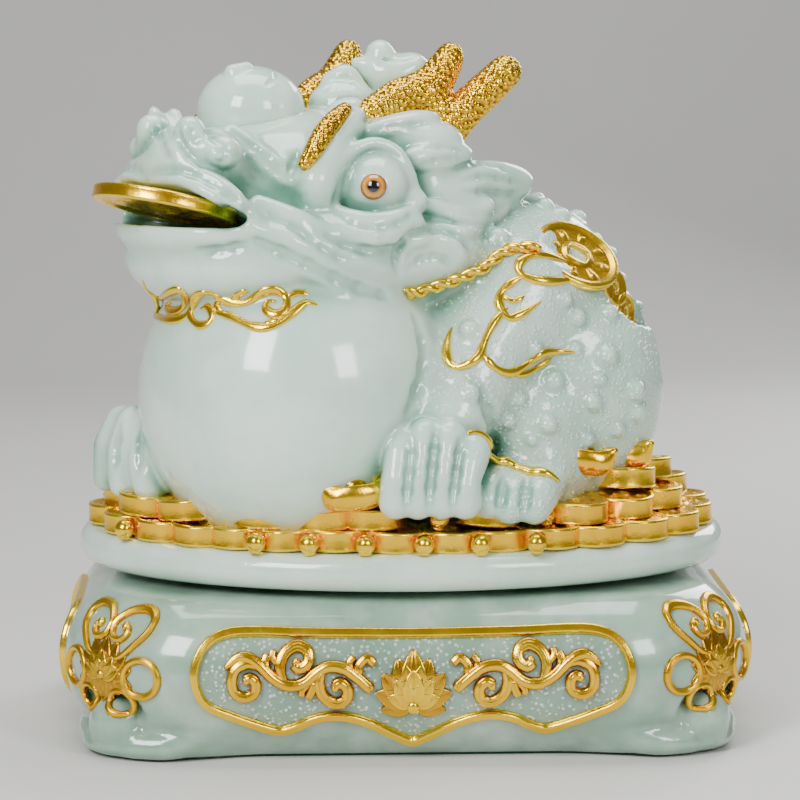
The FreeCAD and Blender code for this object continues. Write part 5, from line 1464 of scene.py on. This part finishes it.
# ---------------------------------------------------------------- pedestal casting
# Half outlines of the panels, (u, w) from bottom middle to top middle.
LONG_PANEL = [
    (0, 6.6), (-8, 10.0), (-18, 15.4), (-26, 18.4), (-34, 19.4), (-42, 18.0), (-49, 14.6),
    (-57, 12.6), (-68, 16.0), (-78, 20.0), (-87, 24.2), (-92.3, 30.5), (-94.4, 40),
    (-92.0, 49.0), (-86.5, 55.4), (-78, 58.6), (-66, 59.2), (-48, 58.6), (-24, 58.2),
    (0, 58.0)]
END_PANEL = [
    (0, 8.5), (-7, 12.0), (-14, 17.4), (-22, 18.4), (-30, 15.0), (-38, 18.4), (-45, 24.5),
    (-48.5, 32.5), (-49.0, 41), (-46.6, 49.0), (-41, 54.8), (-32, 57.4), (-16, 57.8),
    (0, 57.8)]


def whole_outline(half):
    return spline(half + [(-u, w) for u, w in half[-2:0:-1]], 5, closed=True)


def inset(outline, distance):
    t = np.roll(outline, -1, 0) - np.roll(outline, 1, 0)
    t /= np.linalg.norm(t, axis=1, keepdims=True)
    n = np.stack([-t[:, 1], t[:, 0]], 1)
    if ((outline - outline.mean(0)) * n).sum() > 0:
        n = -n
    return outline + n * distance


def in_polygon(px, py, polygon):
    inside = np.zeros(len(px), bool)
    for (xi, yi), (xj, yj) in zip(polygon, np.roll(polygon, 1, 0)):
        crosses = px < (xj - xi) * (py - yi) / (yj - yi + 1e-12) + xi
        inside ^= ((yi > py) != (yj > py)) & crosses
    return inside


LONG_OUTLINE, END_OUTLINE = whole_outline(LONG_PANEL), whole_outline(END_PANEL)
# side, outline, least distance out from the middle
PANELS = [("front", LONG_OUTLINE, 60), ("back", LONG_OUTLINE, 60),
          ("left", END_OUTLINE, 110), ("right", END_OUTLINE, 110)]


def add_corner(body, sx, sy):
    """Foot with a ball, a groove arched over it and a tail each way along the wall."""
    body.add(Oval((104 * sx, 78 * sy, 5.0), (36, 22, 6.0)), 6)
    body.add(Oval((122 * sx, 60 * sy, 5.0), (18, 30, 6.0)), 6)
    out = np.array([sx, sy, 0.0]) / math.sqrt(2)
    along = np.array([-out[1], out[0], 0.0])
    centre = np.array([125.0 * sx, 84.0 * sy, 15.0])
    arch = [centre + out * 4 + along * 15.5 * math.cos(b) + [0, 0, 15.5 * math.sin(b)]
            for b in np.linspace(-0.25, math.pi + 0.25, 13)]
    body.cut(Tube(arch, [1.2, 2.2] + [3.2] * 9 + [2.2, 1.2]), 3.5)
    body.add(Oval(centre, (13.0, 13.0, 13.2)), 1.6)
    for tail in ([(117, 93, 7.0), (106, 96.5, 6.6), (95, 97, 9.0), (86, 96, 13),
                  (80, 95, 17)],
                 [(134, 76, 7.0), (138, 64, 6.6), (138.5, 53, 9.0), (137.5, 44, 13),
                  (136.5, 38, 17)]):
        body.add(Tube([(x * sx, y * sy, z) for x, y, z in tail],
                      [5.5, 5.4, 4.4, 3.2, 1.6]), 4)


def pedestal_casting():
    body = Volume((-156, -114, -1), (156, 114, 72), 1.3)
    x, y, z = body.x, body.y, body.z
    body.dist = wall(x, y, z)
    for sx in (-1, 1):
        for sy in (-1, 1):
            add_corner(body, sx, sy)
    # rounded top at z = 69, flat foot, round well in the top, hollow underside
    body.dist = -smooth_min(-body.dist, 69.0 - z, 2.2)
    body.cut_below(1.05)
    well = np.sqrt(x ** 2 + y ** 2) - 65.4
    body.dist = np.maximum(body.dist, -np.maximum(well, 60.8 - z))
    hollow = np.maximum(wall(x, y, z) + 9.0, z - 55.5)
    body.dist = np.maximum(body.dist, -hollow)
    points, quads = body.mesh()
    points = relax(points, quads, 0.4)
    # painted shade in the casting's hollows
    cavity_shade = cavity(body, points, (4.0, 10.0)) * 0.5
    pebbled = np.zeros(len(points))
    # sink the ground inside each panel
    normals = wall_normal(points)
    outer = np.abs(wall_at(points)) < 2.0
    for side, outline, reach in PANELS:
        along = np.array(VIEWS[side][1], float)
        polygon = inset(outline, 1.9)
        chosen = np.where((-(points @ inward(along)) > reach) & outer)[0]
        u, w = points[chosen] @ along, points[chosen, 2]
        inside = in_polygon(u, w, polygon)
        chosen, u, w = chosen[inside], u[inside], w[inside]
        to_edge = np.full(len(chosen), 99.0)
        for pu, pw in polygon:
            to_edge = np.minimum(to_edge, np.hypot(u - pu, w - pw))
        k = np.clip(to_edge / 2.0, 0, 1)
        points[chosen] -= normals[chosen] * (0.9 * k)[:, None]
        pebbled[chosen] = k
    piece("pedestal_casting", "glazed", (points, quads), PEDESTAL_JADE,
          "pedestal", attributes={"cav": cavity_shade, "peb": pebbled})


pedestal_casting()

# ---------------------------------------------------------------- pedestal reliefs
for side, outline, _ in PANELS:
    points, faces = ribbon(VIEWS[side], inset(outline, 1.95), 3.9, 2.1, closed=True,
                           flat=True, per=2)
    piece(side + "_panel_frame", "bevelled", (points, outward(points, faces)), GOLD,
          body="pedestal")

# width, height, then the (u, w) line of each scroll on the left half of a long panel
SCROLLS = [
    (4.4, 2.4, [(-79.6, 42.4), (-74.4, 46.8), (-69.4, 46.6), (-64.2, 43.2), (-59.1, 38.4),
                (-52.7, 35.2), (-46.3, 36.4), (-41.2, 40.4), (-36.1, 43.0), (-29.7, 42.3),
                (-24.6, 39.1), (-19.8, 35.0), (-17.6, 32.6)]),
    (4.0, 2.2, [(-64.6, 42.4), (-70.0, 44.4), (-75.1, 42.2), (-76.7, 36.7), (-75.1, 31.9),
                (-70.6, 30.3), (-67.0, 32.4), (-66.6, 36.5), (-69.0, 38.6),
                (-71.4, 37.2)]),
    (4.3, 2.3, [(-54.0, 36.3), (-56.3, 43.0), (-54.2, 48.8), (-49.0, 51.6), (-44.6, 49.3),
                (-44.6, 44.8), (-48.2, 42.4), (-50.8, 44.6)]),
    (4.3, 2.3, [(-38.0, 41.9), (-39.9, 36.1), (-38.0, 30.4), (-32.9, 27.2), (-28.5, 29.0),
                (-27.9, 33.4), (-30.9, 36.2), (-34.0, 34.4)]),
    (3.4, 2.0, [(-22.9, 39.0), (-22.9, 43.6), (-19.5, 46.2), (-16.4, 43.6)]),
    (3.4, 2.0, [(-62.0, 42.2), (-62.6, 45.4), (-61.4, 48.2)]),
    (3.2, 2.0, [(-41.6, 36.8), (-42.9, 32.9), (-44.6, 29.6)]),
    (2.6, 1.8, [(-57.0, 44.0), (-59.5, 47.0), (-59.0, 50.2)]),
    (2.6, 1.8, [(-26.0, 40.6), (-27.2, 44.4), (-25.0, 47.2)]),
    (2.6, 1.8, [(-44.0, 36.4), (-47.0, 33.0), (-47.2, 30.4)])]
SCROLL_STUDS = [(-70.6, 37.4), (-49.6, 45.2), (-33.2, 34.0)]
for side in ("front", "back"):
    for half, sign in (("left", 1), ("right", -1)):
        view = VIEWS[side]
        parts = [ribbon(view, [(u * sign, w) for u, w in line], width * 1.22, high,
                        groove=0.16) for width, high, line in SCROLLS]
        parts += [button(view, (u * sign, w), 1.9, 2.2) for u, w in SCROLL_STUDS]
        points, faces = join(parts)
        # painted shade in the scrolls' low places
        piece("%s_scroll_%s" % (side, half), "carved", (points, faces), GOLD,
              body="pedestal", attributes={"cav": relief_shade(points, 1.7, 0.9)})

LOTUS_BASE = (0.0, 26.4)
# angle, length, width, height
OUTER_PETALS = [
    (-16, 14, 8.5, 1.0), (196, 14, 8.5, 1.0), (14, 17, 10.5, 1.1), (166, 17, 10.5, 1.1),
    (40, 19, 11.5, 1.2), (140, 19, 11.5, 1.2), (66, 21, 12, 1.4), (114, 21, 12, 1.4),
    (90, 23.5, 13, 1.7)]
INNER_PETALS = [
    (20, 11.5, 7.5, 1.2), (160, 11.5, 7.5, 1.2), (54, 13.5, 9.5, 1.4),
    (126, 13.5, 9.5, 1.4), (90, 15, 10.5, 1.7)]
for side, node in (("front", "front_lotus"), ("back", "back_lotus"),
                   ("left", "left_side_lotus"), ("right", "right_side_lotus")):
    view = VIEWS[side]
    parts = [leaf(view, LOTUS_BASE, *petal, lift=0.3, bend=0.18 * np.sign(90 - petal[0]))
             for petal in OUTER_PETALS]
    parts += [leaf(view, LOTUS_BASE, *petal, lift=1.3) for petal in INNER_PETALS]
    parts.append(button(view, (LOTUS_BASE[0], LOTUS_BASE[1] - 1.2), 3.3, 2.9))
    points, faces = join(parts)
    # painted shade in the petals' low places
    piece(node, "petals", (points, faces), GOLD, body="pedestal",
          attributes={"cav": relief_shade(points, 2.1, 1.0)})

AGED_GOLD = gold("gilding_aged", rough=0.26, grain=0.4, scale=200)
# right half of the medallion's upper loop, (u, w)
LOBE = [(1.0, 2.5), (9.0, 3.6), (15.0, 9.2), (19.0, 14.6), (18.6, 19.8), (13.6, 22.6),
        (6.0, 21.4), (1.0, 16.6), (2.4, 11.6), (7.0, 10.4), (9.8, 13.2), (7.8, 16.4)]


def loop(u, w, ru, rw):
    angles = [2 * math.pi * i / 14 for i in range(14)]
    return [(u + ru * math.cos(a), w + rw * math.sin(a)) for a in angles]


def corner_medallion(name, sx, sy):
    """Looped border round a flower, on one corner of the pedestal."""
    out = np.array([sx, sy, 0.0]) / math.sqrt(2)
    origin = np.array([131.5 * sx, 89.5 * sy, 41.5]) + out * 30
    view = (origin, (-out[1], out[0], 0))
    parts = []
    for sign in (-1, 1):
        parts.append(ribbon(view, [(u * sign, w) for u, w in LOBE], 3.1, 2.3, groove=0.12))
        parts.append(ribbon(view, loop(sign * 19.5, -4.5, 7.8, 7.8), 3.2, 2.2, groove=0.1,
                            closed=True, per=4))
        parts.append(ribbon(view, loop(sign * 9.6, -15.6, 6.0, 5.3), 2.8, 2.0, groove=0.1,
                            closed=True, per=4))
        parts.append(button(view, (sign * 7.6, 15.6), 2.0, 2.3))
    border = sum(len(p) for p, _ in parts)
    # base w, length, width, height and lift of the petals at each set of angles
    for angles, w, *sizes in (
            ((-12, 192, 14, 166, 40, 140, 64, 116, 90), -5.0, 16.0, 10.0, 1.3, 0.4),
            ((-40, 220, -66, 246, -90), -4.0, 12.5, 8.0, 1.3, 0.5),
            ((20, 160, 52, 128, 90), -5.0, 10.5, 8.0, 1.5, 1.4)):
        parts += [leaf(view, (0, w), angle, *sizes) for angle in angles]
    parts.append(button(view, (0, -4.6), 2.4, 3.0))
    points, faces = join(parts)
    # the petals take a flat darker tone plus painted shade in their low places; the border takes
    # painted shade only
    dark = 0.35 + relief_shade(points, 2.3, 0.6)
    dark[:border] = relief_shade(points[:border], 1.2, 0.6)
    piece("corner_medallion_" + name, "carved", (points, faces), AGED_GOLD,
          body="pedestal", attributes={"cav": dark})


for name, sx, sy in (("front_left", -1, -1), ("front_right", 1, -1), ("back_right", 1, 1),
                     ("back_left", -1, 1)):
    corner_medallion(name, sx, sy)

# ---------------------------------------------------------------- parts that keep their shape
KEPT = {"bottom_board": "board_fibre", "bottom_board_screws": "screw_steel",
        "base_felt": "felt", "bearing_outer_ring": "ring_aluminium",
        "bearing_inner_ring": "ring_aluminium", "bearing_outer_screws": "screw_steel",
        "bearing_inner_screws": "screw_steel", "bearing_balls": "ball_steel",
        "bearing_ball_cage": "cage_nylon", "toad_bolts": "screw_steel"}
for node, material in KEPT.items():
    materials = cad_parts[node].data.materials
    materials.clear()
    materials.append(PLAIN[material])


# ---------------------------------------------------------------- floor, lights, camera
def pale_floor():
    s = Shader("floor_pale")
    s.set(Base_Color=s.ramp(s.noise(scale=3, detail=2),
                            [(0.3, (0.66, 0.65, 0.63)), (0.7, (0.69, 0.68, 0.66))]))
    # clear from behind, so the object can be seen through its back
    backfacing = s.node("ShaderNodeNewGeometry").outputs["Backfacing"]
    s.set(Roughness=0.6, Alpha=s.maths("SUBTRACT", 1.0, backfacing))
    return s.material


def add_floor():
    """Floor that curves up into a backdrop."""
    material = pale_floor()
    # y and z of the section
    section = [(-2500.0, 0.0)]
    section += [(1200 + 600 * math.sin(a), 600 - 600 * math.cos(a))
                for a in np.linspace(0, math.pi / 2, 14)]
    section += [(1800.0, 3000.0)]
    points = [(x, y, z) for y, z in section for x in (-4000.0, 4000.0)]
    faces = [(i, i + 1, i + 3, i + 2) for i in range(0, 2 * len(section) - 2, 2)]
    floor = make("floor", points, faces)
    floor.data.materials.append(material)


def aim(obj, at, target):
    obj.location = at
    direction = Vector(target) - Vector(at)
    obj.rotation_euler = direction.to_track_quat("-Z", "Y").to_euler()


def area_light(name, at, target, width, height, energy):
    """Rectangular light; places and sizes in metres, energy in watts."""
    light = bpy.data.lights.new(name, "AREA")
    light.shape = "RECTANGLE"
    light.size = width
    light.size_y = height
    light.energy = energy
    obj = bpy.data.objects.new(name, light)
    bpy.context.scene.collection.objects.link(obj)
    aim(obj, at, target)


add_floor()
area_light("key", at=(-0.75, -1.15, 1.0), target=(0, 0, 0.15), width=0.5, height=0.75,
           energy=25)
area_light("fill", at=(0.85, -1.3, 0.85), target=(0, 0, 0.17), width=0.42, height=0.6,
           energy=11)
area_light("top", at=(0.0, 0.1, 1.3), target=(0, 0, 0.15), width=0.9, height=0.6, energy=11)
area_light("rim", at=(0.7, 1.0, 0.7), target=(0, 0, 0.2), width=0.5, height=0.7, energy=9)

world = bpy.data.worlds.new("studio")
bpy.context.scene.world = world
world.use_nodes = True
background = world.node_tree.nodes["Background"]
background.inputs["Color"].default_value = (0.80, 0.82, 0.84, 1)
background.inputs["Strength"].default_value = 0.26

lens = bpy.data.cameras.new("camera")
lens.lens = 150
lens.sensor_width = 36
camera = bpy.data.objects.new("camera", lens)
bpy.context.scene.collection.objects.link(camera)
aim(camera, CAMERA / 1000.0, TARGET / 1000.0)
bpy.context.scene.camera = camera
